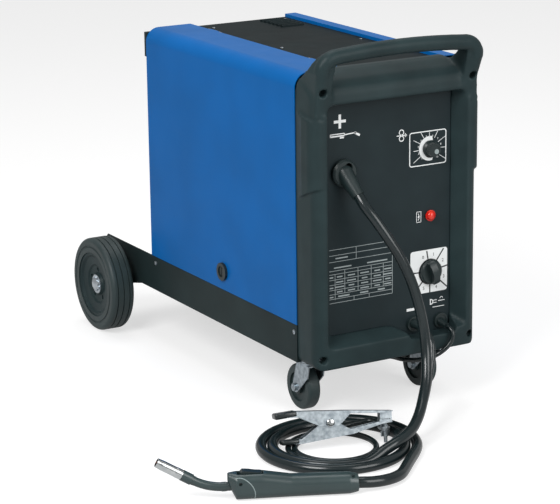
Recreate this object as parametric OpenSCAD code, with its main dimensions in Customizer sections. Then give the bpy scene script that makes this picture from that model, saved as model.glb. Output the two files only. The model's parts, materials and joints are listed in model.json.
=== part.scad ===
// MIG welder on a wheeled cart: a sheet-metal case on a base tray with two large wheels, two swivel
// casters, a wire feeder behind a door, a torch, an earth clamp and a mains lead.
// Millimetres. X runs to the right seen from the front, Y to the rear, Z up from the floor.
// The origin is on the floor under the middle of the machine.

/* [Case] */
// Width of the sheet-metal case
case_w = 322; // [312:2:326]
// Height of the case top above the floor
case_top = 595; // [590:1:600]
// Height of the underside of the base tray
base_z = 102; // [100:1:104]
// Height of the base tray's side flanges
base_h = 65; // [60:1:66]
// Length of the machine without its leads
overall_l = 836; // [830:2:840]
// Y of the rear edge of the case
case_rear = 203; // [199:1:205]
// Thickness of sheet metal
sheet = 1.5; // [1:0.1:1.8]

/* [Moulded front] */
// Width of the moulded front without its side pads
front_w = 320; // [316:2:322]
// Depth of the moulded front below its handle
front_d = 65; // [62:1:66]
// Wall thickness of the moulded front
front_wall = 4; // [3:0.5:4.5]
// Depth of the control panel behind the face
recess = 30; // [28:1:31]
// Radius of the handle tube
grip_r = 13; // [12:0.5:13.5]
// Height of the top of the handle
handle_top = 648; // [646:1:650]

/* [Running gear] */
// Radius of a rear wheel over its tread
wheel_r = 89; // [87:1:90]
// Width over the outer faces of the rear tyres
track_out = 450; // [446:2:454]
// Width of a rear tyre
tyre_w = 46; // [42:1:48]
// Radius of the rear axle
axle_r = 10; // [8:0.5:10]
// Radius of a caster wheel
caster_r = 40; // [38:1:41]
// Width of a caster wheel
caster_w = 24; // [20:1:25]
// Distance of a caster wheel's axle behind its swivel
caster_trail = 25; // [20:1:26]
// Distance of each swivel from the centre line
caster_x = 119; // [114:1:120]

/* [Controls] */
// Diameter of the wire speed knob
speed_knob_d = 28; // [24:1:32]
// Diameter of the power switch knob
switch_knob_d = 42; // [36:1:44]

/* [Wire feeder] */
// Diameter of the wire spool
spool_d = 200; // [160:5:200]
// Width of the wire spool
spool_w = 55; // [45:1:58]
// Diameter of the grooved drive roll
drive_roll_d = 30; // [26:1:32]
// Diameter of the pressure roll
pressure_roll_d = 24; // [20:1:26]

/* [Leads] */
// Diameter of the torch cable
torch_cable_d = 18; // [16:0.5:18]
// Diameter of the earth cable
earth_cable_d = 10; // [8:0.5:10]
// Diameter of the mains cord
mains_cord_d = 8; // [7:0.5:8]
// Length of the earth clamp's jaws in front of its pivot
clamp_l = 107; // [104:1:110]

/* [Hidden] */
$fn = 64;

BLUE = "#1463a6";
DARK = "#2b393b";
PANEL = "#263234";
RUBBER = "#22292a";
STEEL = "#b8bfc6";
BRASS = "#b08d4a";
COPPER = "#b5683c";
eps = 0.01;
fit_gap = 0.05;

half_w = case_w / 2;
half_front = front_w / 2;
axle_y = overall_l / 2 - wheel_r;
axle_z = wheel_r;
handle_front = -overall_l / 2;
face_y = handle_front + 21;
case_front = face_y + front_d;
panel_y = face_y + recess;
flange_top = base_z + base_h;
cover_z = case_top - 6;

// Free stretches of the leads, from the front panel to where each coil starts
torch_route = [[-82, -401, 394], [-78, -414, 379], [-67, -429, 357], [-50, -442, 326], [-32, -452, 291],
    [-16, -460, 251], [-5, -466, 209], [1, -472, 167], [-1, -482, 127], [-13, -500, 92], [-32, -519, 67],
    [-54, -540, 50], [-79, -560, 39], [-104, -574, 33], [-127, -581, 28], [-146, -582.5, 21.5],
    [-163, -584, 14]];
earth_route = [[48, -391, 145], [48, -403, 144], [48, -416, 138], [47, -427, 126], [43, -435, 110],
    [35, -443, 91], [23, -455, 70], [4, -474, 50], [-22, -499, 35.5], [-52, -521, 27.5], [-82, -538, 25],
    [-108, -551, 21], [-131, -560.5, 13.5], [-152, -566, 8], [-172, -568, 5.6]];
mains_route = [[103, -389, 138.5], [103.5, -397, 137], [104.5, -404, 130], [102, -406, 118.5], [95, -405.5, 108.5],
    [86, -403, 100.5], [76, -397.5, 93], [66, -384, 85], [55, -363, 78], [45, -341, 75], [42, -317, 73], [44, -292, 68],
    [55, -262, 61], [71, -244, 54.5], [92, -231, 46.5], [115, -226, 38], [137, -220, 29], [158, -214, 20],
    [177, -205, 12], [193, -196, 6.5], [203, -176, 4.4], [206, -153, 4.2], [204, -128, 4.2],
    [198, -100, 4.2], [190, -72, 4.2], [181, -44, 4.2], [173, -16, 4.2], [168, 14, 4.2], [167, 50, 4.2]];

torch_coil_at = [-182, -487.5];
torch_coil_r = 98;
torch_coil_step = 19.1;
torch_turns = 1.875;
torch_coil_flat = 10; // drawn in at the back, clear of the left caster's swing
earth_coil_at = [-186, -490];
earth_coil_r = 78;
earth_coil_step = -10.6;
earth_turns = 1.5;
mains_coil_at = [110, 58];
mains_coil_r = 57;
mains_coil_step = 8.8;
mains_reverse = 2.75;
mains_turns = 5;

// Left and right parts share one description; side is -1 on the left and 1 on the right.
module each_side() {
    for (side = [-1, 1]) mirror([side < 0 ? 1 : 0, 0, 0]) children();
}

// A drawing in Y and Z, made t thick along X from x0.
module slab_x(x0, t) {
    translate([x0, 0, 0]) rotate([90, 0, 90]) linear_extrude(t) children();
}

// A drawing in X and Z, made t thick along Y from y0.
module slab_y(y0, t) {
    translate([0, y0 + t, 0]) rotate([90, 0, 0]) linear_extrude(t) children();
}

module rod_x(x0, len, r) {
    translate([x0, 0, 0]) rotate([0, 90, 0]) cylinder(h = len, r = r);
}

module rod_y(y0, len, r) {
    translate([0, y0, 0]) rotate([-90, 0, 0]) cylinder(h = len, r = r);
}

// Rectangle from [x0, z0] to [x1, z1] with round corners of radius r.
module round_rect(x0, z0, x1, z1, r) {
    translate([x0 + r, z0]) square([x1 - x0 - 2 * r, z1 - z0]);
    translate([x0, z0 + r]) square([x1 - x0, z1 - z0 - 2 * r]);
    for (x = [x0 + r, x1 - r], z = [z0 + r, z1 - r]) translate([x, z]) circle(r = r);
}

// Slot along the first axis with round ends.
module slot_2d(len, w) {
    translate([-len / 2 + w / 2, -w / 2]) square([len - w, w]);
    for (x = [-1, 1]) translate([x * (len - w) / 2, 0]) circle(d = w);
}

// Cheese-head of a screw whose head stands on Z = 0.
module screw_head(r, h) {
    difference() {
        intersection() {
            cylinder(h = h, r = r);
            translate([0, 0, h - 2.2 * r]) sphere(r = 2.2 * r);
        }
        for (turn = [0, 90]) rotate(turn) translate([-r * 0.7, -r * 0.12, h * 0.45]) cube([r * 1.4, r * 0.24, h]);
    }
}

// ---------------------------------------------------------------- base tray
ear_r = 20;
rear_lip = 8;
tray_rear = 398;
drop_y = case_rear + 43;

module tray_side_2d() {
    polygon([[case_front, base_z], [drop_y, base_z], [drop_y + 26, base_z - 6], [axle_y - ear_r, axle_z],
        [axle_y + ear_r, axle_z], [tray_rear - 12, base_z - 6], [tray_rear, base_z], [tray_rear, flange_top - 8],
        [tray_rear - 8, flange_top], [case_front, flange_top]]);
    translate([axle_y, axle_z]) circle(r = ear_r);
}

module base_tray() {
    vent_rows = [for (y = [-260:44:92]) y];
    vent_x = [-50, 50];
    color(DARK) difference() {
        union() {
            each_side() slab_x(half_w - 2, 2) tray_side_2d();
            translate([-half_w + eps, case_front, base_z]) cube([case_w - 2 * eps, tray_rear - case_front, 2]);
            translate([-half_w + eps, case_front, base_z]) cube([case_w - 2 * eps, 2, base_h - 8]);
            translate([-half_w + eps, tray_rear - 2, base_z]) cube([case_w - 2 * eps, 2, rear_lip]);
            // stop across the tray that keeps the bottle off the back of the case
            translate([-half_w + eps, case_rear + 14, base_z]) cube([case_w - 2 * eps, 2, 20]);
        }
        translate([0, axle_y, axle_z]) rod_x(-half_w - 1, case_w + 2, axle_r + 0.02);
        for (y = vent_rows, x = vent_x) translate([x, y, base_z - 1]) linear_extrude(4) slot_2d(62, 8);
    }
}

// ---------------------------------------------------------------- moulded front with its handle
corner_r = 20;
window_x = 121;
lip_x = 139;
window_top = 547;
window_foot = 152;
pocket_foot = 128;
shoulder_z = 534;
flank_top = 571;
forehead_top = 598;
screw_x = 146;
screw_depth = 17;
pad_proud = 6;

// Front view of the column and sill, without the handle.
module front_outline_2d(half) {
    round_rect(-half, base_z - 1, half, shoulder_z, 14);
    translate([-half, shoulder_z - 40]) square([2 * half, 40]);
}

// Plan of the front: square behind, round corners towards the face.
module front_plan_2d(half) {
    translate([-half + corner_r, face_y]) square([2 * half - 2 * corner_r, front_d]);
    translate([-half, face_y + corner_r]) square([2 * half, front_d - corner_r]);
    for (side = [-1, 1]) translate([side * (half - corner_r), face_y + corner_r]) circle(r = corner_r);
}

// Plan of the pads: it narrows towards the case, so that the pads end flush with the side panels.
module pad_plan_2d() {
    half = half_front + pad_proud;
    intersection() {
        front_plan_2d(half);
        polygon([[-half, face_y], [half, face_y], [half, case_front - 28], [half_front - 1, case_front],
            [1 - half_front, case_front], [-half, case_front - 28]]);
    }
}

// Ring segment of a round tube in the X and Z plane, from angle a0 to a1, round the origin.
module tube_arc(path_r, r, a0, a1) {
    rotate([90, 0, 0]) rotate(a0) rotate_extrude(angle = a1 - a0) translate([path_r, 0]) circle(r = r);
}

// Side view of a handle arm: a web from the shoulder up to the bar.
module arm_side_2d() {
    bar_y = handle_front + grip_r;
    bar_z = handle_top - grip_r - 7;
    polygon([[case_front, shoulder_z - 30], [case_front, flank_top - 8], [case_front - 3, flank_top + 5],
        [case_front - 12, flank_top + 18], [case_front - 26, flank_top + 27], [case_front - 42, flank_top + 37],
        [bar_y + 9, bar_z + 9], [bar_y - 4, bar_z - 12], [face_y, shoulder_z + 36], [face_y + 2, shoulder_z],
        [face_y + 6, shoulder_z - 30]]);
}

// Handle loop: a shallow arched bar, two bends and two arms that lean back to the shoulders.
module handle_loop() {
    arch_r = 1300;
    arch_a = 5.62;
    bend_r = 24;
    lean = 13;
    // each joint is a ball a little larger than the tube; the tubes end inside it
    inset = 0.05;
    bend_x = (arch_r - bend_r) * sin(arch_a);
    bend_z = -arch_r + (arch_r - bend_r) * cos(arch_a);
    translate([0, handle_front + grip_r, handle_top - grip_r]) rotate([lean, 0, 0]) {
        translate([0, 0, -arch_r]) rotate([90, 0, 0]) rotate(90 - arch_a + inset)
            rotate_extrude(angle = 2 * (arch_a - inset), $fn = 720) translate([arch_r, 0]) circle(r = grip_r, $fn = 64);
        each_side() {
            translate([arch_r * sin(arch_a), 0, -arch_r + arch_r * cos(arch_a)]) sphere(r = grip_r + 0.3);
            translate([bend_x, 0, bend_z]) tube_arc(bend_r, grip_r, -6, 87.6 - arch_a);
            translate([bend_x, 0, bend_z]) rotate([0, 6, 0]) translate([bend_r, 0, -75])
                cylinder(h = 75, r1 = grip_r - 1.5, r2 = grip_r);
        }
    }
}

module window_cut() {
    // straight window through the face, with a drafted mouth in front of it
    slab_y(panel_y - 1, front_d) round_rect(-window_x, window_foot, window_x, window_top, 6);
    hull() {
        slab_y(face_y - 1, 0.1) round_rect(-lip_x, window_foot - 17, lip_x, window_top, 12, $fn = 32);
        slab_y(panel_y, 0.1) round_rect(-window_x, window_foot, window_x, window_top, 6, $fn = 32);
    }
    // deeper pocket under the glands
    slab_y(face_y - 1, front_d + 2) {
        round_rect(22, pocket_foot, window_x, window_top - 100, 12);
        polygon([[-22, window_foot + 2], [4, window_foot - 4], [24, pocket_foot + 10], [40, pocket_foot + 20],
            [40, window_foot + 2]]);
    }
}

module front_bezel() {
    color(DARK) difference() {
        union() {
            intersection() {
                slab_y(face_y, front_d) front_outline_2d(half_front);
                translate([0, 0, base_z - 2]) linear_extrude(600) front_plan_2d(half_front);
            }
            // pads on both flanks, proud in front and flush behind
            intersection() {
                slab_x(-half_front - pad_proud, front_w + 2 * pad_proud) polygon([[face_y, 412], [face_y, 524],
                    [case_front, shoulder_z], [case_front, 384]]);
                translate([0, 0, base_z - 2]) linear_extrude(600) pad_plan_2d();
            }
            // arms
            intersection() {
                each_side() slab_x(128, 35) arm_side_2d();
                // the top corners follow the handle's bends
                slab_y(handle_front, 120) each_side() polygon([[0, shoulder_z - 20], [half_front, shoulder_z - 20],
                    [157, 571], [162, 604], [159, 618], [153, 628], [145, 635], [128, 640], [0, 640]]);
            }
            // shoulders flush with the case, behind the arms' waist
            intersection() {
                each_side() slab_x(128, 32) polygon([[case_front, shoulder_z - 30], [case_front, flank_top - 8],
                    [case_front - 3, flank_top + 5], [case_front - 12, flank_top + 17], [face_y + 14, flank_top - 10],
                    [face_y + 8, shoulder_z - 30]]);
                translate([0, 0, base_z - 2]) linear_extrude(600) front_plan_2d(half_front);
            }
            handle_loop();
            // forehead that leans back above the window
            intersection() {
                slab_x(-140, 280) union() {
                    polygon([[case_front, window_top - 10], [face_y + 10, window_top - 10], [face_y + 3, window_top + 2],
                        [face_y + 4, window_top + 18], [face_y + 9, window_top + 29], [face_y + 20, window_top + 39],
                        [case_front - 20, forehead_top - 2], [case_front - 8, forehead_top], [case_front, forehead_top]]);
                    translate([face_y + 11, window_top + 3]) circle(r = 9);
                }
                slab_y(face_y - 5, front_d + 5) polygon([[-136, window_top - 12], [136, window_top - 12],
                    [130, forehead_top - 5], [125, forehead_top + 1], [-125, forehead_top + 1], [-130, forehead_top - 5]]);
            }
        }
        window_cut();
        // hollow behind the face and walls
        slab_y(panel_y, front_d) {
            round_rect(-half_front + front_wall, base_z + 3, half_front - front_wall, window_top - 2, 8);
            translate([-130, window_top - 20]) square([260, 28]);
            translate([-120, window_top - 20]) square([240, 46]);
        }
        for (x = [-screw_x, screw_x]) {
            translate([x, 0, flank_top]) rod_y(face_y - 30, 30 + screw_depth, 7);
            translate([x, 0, base_z + 17.5]) rod_y(face_y - 1, 1 + screw_depth, 6.5);
        }
    }
}

// ---------------------------------------------------------------- control panel and controls
speed_at = [80, 448];
switch_at = [82, 233];
lamp_at = [81, 332];
torch_at = [-91, 428];
earth_at = [48, 146];
mains_at = [103, 144];
stem_r = 3;

module control_panel() {
    color(PANEL) difference() {
        slab_y(panel_y, 2) {
            round_rect(-window_x - 8, window_foot - 8, window_x + 8, window_top + 8, 4);
            round_rect(10, pocket_foot - 10, window_x + 8, 300, 4);
        }
        for (spot = [speed_at, switch_at]) translate([spot.x, 0, spot.y]) rod_y(panel_y - 1, 4, stem_r + 2);
        translate([lamp_at.x, 0, lamp_at.y]) rod_y(panel_y - 1, 4, 7);
        translate([torch_at.x, 0, torch_at.y]) rod_y(panel_y - 1, 4, 18);
        for (spot = [earth_at, mains_at]) translate([spot.x, 0, spot.y]) rod_y(panel_y - 1, 4, 8);
    }
}

module wire_speed_knob() {
    flutes = 18;
    r = speed_knob_d / 2;
    color(RUBBER) translate([speed_at.x, panel_y - 1, speed_at.y]) rotate([90, 0, 0]) difference() {
        union() {
            cylinder(h = 3, r = r);
            translate([0, 0, 3]) cylinder(h = 3, r1 = r, r2 = r - 2.5);
            cylinder(h = 17, r = r - 2.5);
            translate([0, 0, -12]) cylinder(h = 13, r = stem_r);
        }
        for (i = [0:flutes - 1]) rotate(i * 360 / flutes) translate([r - 1.6, 0, 6.2]) cylinder(h = 12, r = 1.3);
        translate([0, 0, 16.2]) cylinder(h = 2, r = r - 5.5);
        rotate(-40) translate([r - 2.6, -0.8, 6]) cube([3, 1.6, 12]);
    }
}

module power_switch_knob() {
    r = switch_knob_d / 2;
    color(RUBBER) translate([switch_at.x, panel_y - 1, switch_at.y]) rotate([90, 0, 0]) union() {
        cylinder(h = 5, r = r);
        translate([0, 0, 5]) cylinder(h = 2, r1 = r, r2 = r - 2);
        // winged grip across the disc
        rotate(-75) intersection() {
            translate([-r + 1, -6, 6]) cube([2 * r - 2, 12, 16]);
            cylinder(h = 22, r = r - 1);
            translate([0, 0, -9]) rotate([90, 0, 0]) cylinder(h = 2 * r, r = 30, center = true);
        }
        translate([0, 0, -12]) cylinder(h = 13, r = stem_r);
    }
}

module thermal_lamp() {
    color("#d8281c") translate([lamp_at.x, panel_y - 2, lamp_at.y]) rotate([90, 0, 0]) {
        difference() {
            cylinder(h = 2, r = 9.5);
            translate([0, 0, 1]) cylinder(h = 2, r = 8);
        }
        intersection() {
            cylinder(h = 9, r = 7.6);
            translate([0, 0, -1]) sphere(r = 9.5);
        }
        translate([0, 0, -8]) cylinder(h = 9, r = 6.9);
    }
}

// Cam switch and speed potentiometer on the back of the panel.
module panel_electrics() {
    color("#3a3d40") {
        difference() {
            translate([switch_at.x - 26, panel_y + 2, switch_at.y - 26]) cube([52, 48, 52]);
            translate([switch_at.x, 0, switch_at.y]) rod_y(panel_y, 14, stem_r + 1);
        }
        // cam stages stacked behind the mounting block
        for (i = [0:2]) translate([switch_at.x, 0, switch_at.y]) rod_y(panel_y + 51 + 9 * i, 8, 22 - i);
        translate([switch_at.x, 0, switch_at.y]) rod_y(panel_y + 45, 32, 8);
        difference() {
            translate([speed_at.x, 0, speed_at.y]) rod_y(panel_y + 2, 18, 12);
            translate([speed_at.x, 0, speed_at.y]) rod_y(panel_y, 14, stem_r + 1);
        }
    }
}

// ---------------------------------------------------------------- glands
boot_len = 46;

// Turns the Z axis of its children to point along v.
module aim(v) {
    rotate([0, acos(v.z / norm(v)), atan2(v.y, v.x)]) children();
}

module torch_gland() {
    mouth = torch_cable_d / 2 + 1.5;
    color(RUBBER) difference() {
        union() {
            translate([torch_at.x, panel_y, torch_at.y]) rotate([90, 0, 0]) {
                cylinder(h = 7, r = 23);
                translate([0, 0, 7]) cylinder(h = 3, r1 = 23, r2 = 20);
                translate([0, 0, -14]) cylinder(h = 15, r = 15.6);
            }
            translate([torch_at.x, panel_y - 4, torch_at.y]) sphere(r = 15);
            translate(torch_route[0]) aim(torch_route[0] - torch_route[1]) cylinder(h = boot_len, r1 = mouth, r2 = 15);
        }
        // throat above the boot
        translate([torch_at.x + 5, panel_y + 1, torch_at.y + 9]) rotate([90, 0, 0]) cylinder(h = 12, r = 8);
    }
}

// Round gland with a tapered strain relief that ends where the lead's route starts.
module small_gland(spot, route, cord_d) {
    translate([spot.x, panel_y, spot.y]) rotate([90, 0, 0]) {
        difference() {
            cylinder(h = 5, r = 13);
            translate([0, 0, 4]) cylinder(h = 2, r = 10);
        }
        translate([0, 0, -10]) cylinder(h = 11, r = 7.8);
    }
    back = route[0] - route[1];
    translate(route[0]) aim(back) cylinder(h = 20, r1 = cord_d / 2 + 0.9, r2 = cord_d / 2 + 3.2);
}

module cable_glands() {
    color(RUBBER) {
        small_gland(earth_at, earth_route, earth_cable_d);
        small_gland(mains_at, mains_route, mains_cord_d);
    }
}

// ---------------------------------------------------------------- case panels
strip_in = 66;
right_strip = 28;
right_bend = 6;
door_bend = 26;

module top_cover() {
    louvres = 6;
    color(DARK) difference() {
        union() {
            translate([-strip_in + 4, case_front, cover_z - sheet])
                cube([strip_in + half_w - right_strip - 4, case_rear - case_front, sheet]);
            // raised vents towards the rear
            for (i = [0:louvres - 1]) translate([92, case_rear - 22 - 15 * i, cover_z - 0.5]) rotate([0, 90, 0])
                cylinder(h = 46, r = 4, center = true);
        }
        translate([0, case_front - 1, cover_z - 20]) cube([200, 600, 20 - sheet]);
    }
}

// Blue panel in front view: a side wall down from the top strip to foot, with a round bend and a lip.
module wrap_2d(strip, foot, bend) {
    difference() {
        union() {
            translate([half_w - strip, case_top - sheet]) square([strip - bend, sheet]);
            translate([half_w - sheet, foot]) square([sheet, case_top - bend - foot]);
            translate([half_w - bend, case_top - bend]) circle(r = bend);
        }
        translate([half_w - bend, case_top - bend]) circle(r = bend - sheet);
        translate([half_w - 2 * bend - 1, case_top - 2 * bend - 1]) square([bend + 1, 2 * bend + 1 - sheet]);
        translate([half_w - 2 * bend, case_top - 2 * bend - 1]) square([2 * bend - sheet, bend + 1]);
    }
    translate([half_w - 10, foot]) square([10, sheet]);
}

module right_side_panel() {
    color(BLUE) {
        slab_y(case_front + 0.4, case_rear - case_front - 0.4) wrap_2d(right_strip, flange_top, right_bend);
        translate([half_w - right_strip, case_front + 0.4, cover_z - sheet])
            cube([sheet, case_rear - case_front - 0.4, case_top - cover_z + sheet]);
    }
}

hinge_x = -strip_in;
hinge_z = case_top - 3.6;
pin_r = 2;
knuckle_r = 3.6;
hinge_spots = [case_front + 90, case_rear - 90];
knuckle_l = 30;
latch_at = [case_rear - 280, 201];
latch_r = 16;

module side_door() {
    color(BLUE) difference() {
        union() {
            mirror([1, 0, 0]) slab_y(case_front + 0.8, case_rear - case_front - 1.6)
                wrap_2d(half_w - strip_in - 3, flange_top + 0.6, door_bend);
            for (y = hinge_spots) translate([hinge_x, 0, hinge_z]) rod_y(y - knuckle_l / 2, knuckle_l, knuckle_r);
            for (y = hinge_spots) translate([hinge_x - 8, y - knuckle_l / 2, case_top - sheet]) cube([8, knuckle_l, sheet]);
        }
        for (y = hinge_spots) translate([hinge_x, 0, hinge_z]) rod_y(y - knuckle_l, 2 * knuckle_l, pin_r + fit_gap);
        translate([0, latch_at.x, latch_at.y]) rod_x(-half_w - 1, 6, 5.5 + fit_gap);
        // gap in the lip for the latch's cam
        translate([-half_w + sheet, latch_at.x - 12, flange_top]) cube([12, 42, 4]);
    }
}

module door_hinges() {
    lug = 8;
    color(STEEL) for (y = hinge_spots) {
        translate([hinge_x, 0, hinge_z]) rod_y(y - knuckle_l / 2 - lug - 0.3, knuckle_l + 2 * lug + 0.6, pin_r);
        for (end = [y - knuckle_l / 2 - lug - 0.3, y + knuckle_l / 2 + 0.3]) {
            translate([hinge_x, 0, hinge_z]) rod_y(end, lug, knuckle_r - 0.4);
            translate([hinge_x - 1, end, case_top - 30]) cube([2, lug, 26.5]);
        }
    }
}

module door_latch() {
    color("#1d2224") translate([0, latch_at.x, latch_at.y]) difference() {
        union() {
            rod_x(-half_w - 5, 5, latch_r);
            rod_x(-half_w - 1, 9, 5.5);
            // cam behind the door; it lies level when the door is free to open
            translate([-half_w + 4, -7, -7]) cube([3, 47, 14]);
        }
        rod_x(-half_w - 6, 3, latch_r - 6);
        translate([-half_w - 6, -1.2, -8]) cube([5, 2.4, 16]);
    }
}

// Rear view of the panel between the side panels, inside the door's round bend.
module rear_outline_2d() {
    intersection() {
        union() {
            translate([2 - half_w, base_z + 2]) square([case_w - 4, case_top - door_bend - base_z - 2]);
            translate([door_bend - half_w, base_z + 2]) square([case_w - door_bend - 2, cover_z - base_z - 4]);
            translate([door_bend - half_w, case_top - door_bend]) circle(r = door_bend - 2);
        }
        translate([2 - half_w, base_z + 2]) square([case_w - 4, cover_z - base_z - 4]);
    }
}

module rear_panel() {
    fan_r = 62;
    color(DARK) difference() {
        slab_y(case_rear - 2, sheet) rear_outline_2d();
        // fan grille: rings of slots
        translate([fan_at.x, 0, fan_at.z]) for (ring = [0:3], i = [0:5])
            rotate([0, i * 60 + 30 * (ring % 2), 0]) translate([fan_r - 10 - 13 * ring, 0, 0]) rotate([90, 90, 0])
                linear_extrude(500, center = true) slot_2d(34 - 8 * ring, 6);
        for (row = [0:7]) translate([-70, 0, 180 + 18 * row]) rotate([90, 0, 0]) linear_extrude(500, center = true)
            slot_2d(110, 6);
        translate([gas_at.x, 0, gas_at.y]) rod_y(case_rear - 6, 10, 8);
        // notches for the bottom lips of the side panels
        each_side() translate([half_w - 12, case_rear - 3, flange_top - 1]) cube([12, 4, 8]);
    }
}

module centre_partition() {
    color(DARK) difference() {
        union() {
            translate([-strip_in + 1, case_front + 8, base_z + 2]) {
                cube([sheet, case_rear - case_front - 12, cover_z - sheet - base_z - 2]);
                // feet on the tray and a flange under the top cover
                for (z = [0, cover_z - 2 * sheet - base_z - 2]) translate([0, 0, z])
                    cube([14, case_rear - case_front - 12, sheet]);
            }
        }
        translate([0, drive_at.x, drive_at.y]) rod_x(-strip_in - 2, 8, 14);
    }
}

module bottle_bracket() {
    z0 = case_top - 53;
    h = 45;
    pocket_w = case_w - 248;
    color(DARK) difference() {
        union() {
            translate([-half_w + 1.6, case_rear + fit_gap, z0]) cube([case_w - 3.2, 9 - fit_gap, h]);
            // seat against the rear panel, clear of the door's bend
            translate([door_bend - half_w, case_rear - 0.5, z0]) cube([case_w - 2 * door_bend, 5, h]);
            translate([-80, case_rear, z0 + 10]) cube([160, 46, 22]);
        }
        // seat for the bottle's shoulder
        translate([0, case_rear + 96, z0]) cylinder(h = 100, r = 71, $fn = 96);
        translate([-66, case_rear + 3, z0 + 12]) cube([132, 26, 18]);
        each_side() translate([half_w - 4 - pocket_w, case_rear + 2, z0 + 3]) cube([pocket_w, 10, h - 6]);
    }
}

gas_at = [-112, 150];
module gas_fitting() {
    color(BRASS) translate([gas_at.x, case_rear - 0.5, gas_at.y]) rotate([-90, 0, 0]) {
        translate([0, 0, -14]) cylinder(h = 14.5, r = 7.8);
        cylinder(h = 8, r = 11, $fn = 6);
        translate([0, 0, 8]) cylinder(h = 22, r = 4);
    }
}

module case_screws() {
    color(STEEL) {
        // base flange to case
        each_side() for (spot = [[186, 155], [case_front + 8, 154]])
            translate([half_w, spot.x, spot.y]) rotate([0, 90, 0]) screw_head(4, 2.4);
        // top cover
        for (spot = [[120, 178], [-41, 163], [-42, -87], [120, -87]])
            translate([spot.x, spot.y, cover_z]) screw_head(3, 2);
        // moulded front, sunk in its corner recesses
        for (x = [-screw_x, screw_x], z = [base_z + 17.5, flank_top])
            translate([x, face_y + screw_depth, z]) rotate([90, 0, 0]) screw_head(4, 2.6);
        // rear panel
        for (x = [-146, 0, 146], z = [190, 480]) translate([x, case_rear - 0.5, z]) rotate([-90, 0, 0]) screw_head(3.5, 2.2);
    }
}

// ---------------------------------------------------------------- running gear
rim_r = 62;
hub_r = 17;
hub_gap = 0.04;
hub_face = tyre_w / 2 - 9;
axle_end = track_out / 2 - tyre_w / 2 + hub_face; // flush with the hubs' outer faces

module rear_axle() {
    color(STEEL) translate([0, axle_y, axle_z]) rod_x(-axle_end - 0.1, 2 * axle_end + 0.2, axle_r);
}

module axle_caps() {
    flutes = 8;
    color(STEEL) each_side() translate([axle_end + 0.1, axle_y, axle_z]) rotate([0, 90, 0]) difference() {
        union() {
            cylinder(h = 1.6, r = 18);
            intersection() {
                cylinder(h = 8.9, r = 14);
                translate([0, 0, -11]) sphere(r = 20);
            }
        }
        for (i = [0:flutes - 1]) rotate(i * 360 / flutes) translate([14.5, 0, 1.6]) cylinder(h = 9, r = 3);
    }
}

// Rear tyre in section: round shoulders, a flat tread with grooves between ribs.
module tyre_2d() {
    w = tyre_w / 2;
    difference() {
        union() {
            translate([rim_r, -w]) square([wheel_r - rim_r - 8, 2 * w]);
            translate([rim_r, -w + 8]) square([wheel_r - rim_r, 2 * w - 16]);
            for (z = [-w + 8, w - 8]) translate([wheel_r - 8, z]) circle(r = 8);
        }
        for (z = [-12, 0, 12]) translate([wheel_r - 2.5, z - 1]) square([4, 2]);
        for (z = [-w, w]) translate([rim_r + 11, z]) circle(r = 2, $fn = 24);
    }
}

module tyre(side) {
    color(RUBBER) translate([side * (track_out - tyre_w) / 2, axle_y, axle_z]) rotate([0, 90, 0])
        rotate_extrude($fn = 96) tyre_2d();
}

// Moulded rim: a hub and a rim joined by a dished web with five windows' recesses.
module wheel_rim(side) {
    spokes = 5;
    w = tyre_w / 2;
    color(DARK) translate([side * (track_out - tyre_w) / 2, axle_y, axle_z]) rotate([0, side * 90, 0]) difference() {
        rotate_extrude($fn = 96) polygon([[axle_r + hub_gap, -w - 6], [hub_r, -w - 6], [hub_r + 1, -6], [rim_r - 8, -6],
            [rim_r - 6, -w + 2], [rim_r, -w + 2], [rim_r, w - 2], [rim_r - 5, w - 2], [rim_r - 9, w - 6],
            [rim_r - 24, w - 8], [rim_r - 27, w - 11], [hub_r + 5, w - 13], [hub_r + 2, hub_face], [axle_r + hub_gap, hub_face]]);
        for (i = [0:spokes - 1]) rotate(i * 360 / spokes) translate([28, 0, w - 14]) cylinder(h = 20, r = 4.5);
    }
}

swivel_y = case_front + 26;
fork_top = base_z - 14;
fork_in = caster_w / 2 + 2.4;
fork_t = 2.2;

module caster_plates() {
    color(STEEL) each_side() translate([caster_x, swivel_y, 0]) {
        difference() {
            translate([-28, -14, base_z - 3]) cube([56, 70, 3]);
            for (x = [-20, 20], y = [-6, 47]) translate([x, y, base_z - 4]) cylinder(h = 5, r = 3.2);
        }
        translate([0, 0, fork_top]) cylinder(h = base_z - fork_top - 2, r = 6);
        translate([0, 0, fork_top + 3.3]) cylinder(h = base_z - fork_top - 5, r = 19);
    }
}

// Pressed fork: two legs that taper back to the axle, joined by the top plate and a curved brow.
module caster_fork(side) {
    color(STEEL) translate([side * caster_x, swivel_y, 0]) difference() {
        union() {
            each_side() slab_x(fork_in, fork_t) {
                polygon([[-20, fork_top], [20, fork_top], [caster_trail + 8, caster_r + 5], [caster_trail + 7, caster_r - 5],
                    [caster_trail - 7, caster_r - 7], [-16, 66]]);
                translate([caster_trail, caster_r]) circle(r = 9);
            }
            translate([-fork_in - fork_t, -20, fork_top - 2.5]) cube([2 * (fork_in + fork_t), 40, 2.5]);
            translate([0, 0, fork_top - 2.5]) cylinder(h = 5.5, r = 20);
            translate([0, caster_trail, caster_r]) rod_x(-fork_in - fork_t - 4, 2 * (fork_in + fork_t + 4), 4);
            translate([0, caster_trail, caster_r]) rod_x(fork_in + fork_t, 4.5, 6.5);
            translate([0, caster_trail, caster_r]) rod_x(-fork_in - fork_t - 4.5, 4.5, 6.5);
        }
        translate([0, 0, fork_top - 5]) cylinder(h = 12, r = 6 + fit_gap);
    }
}

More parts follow.
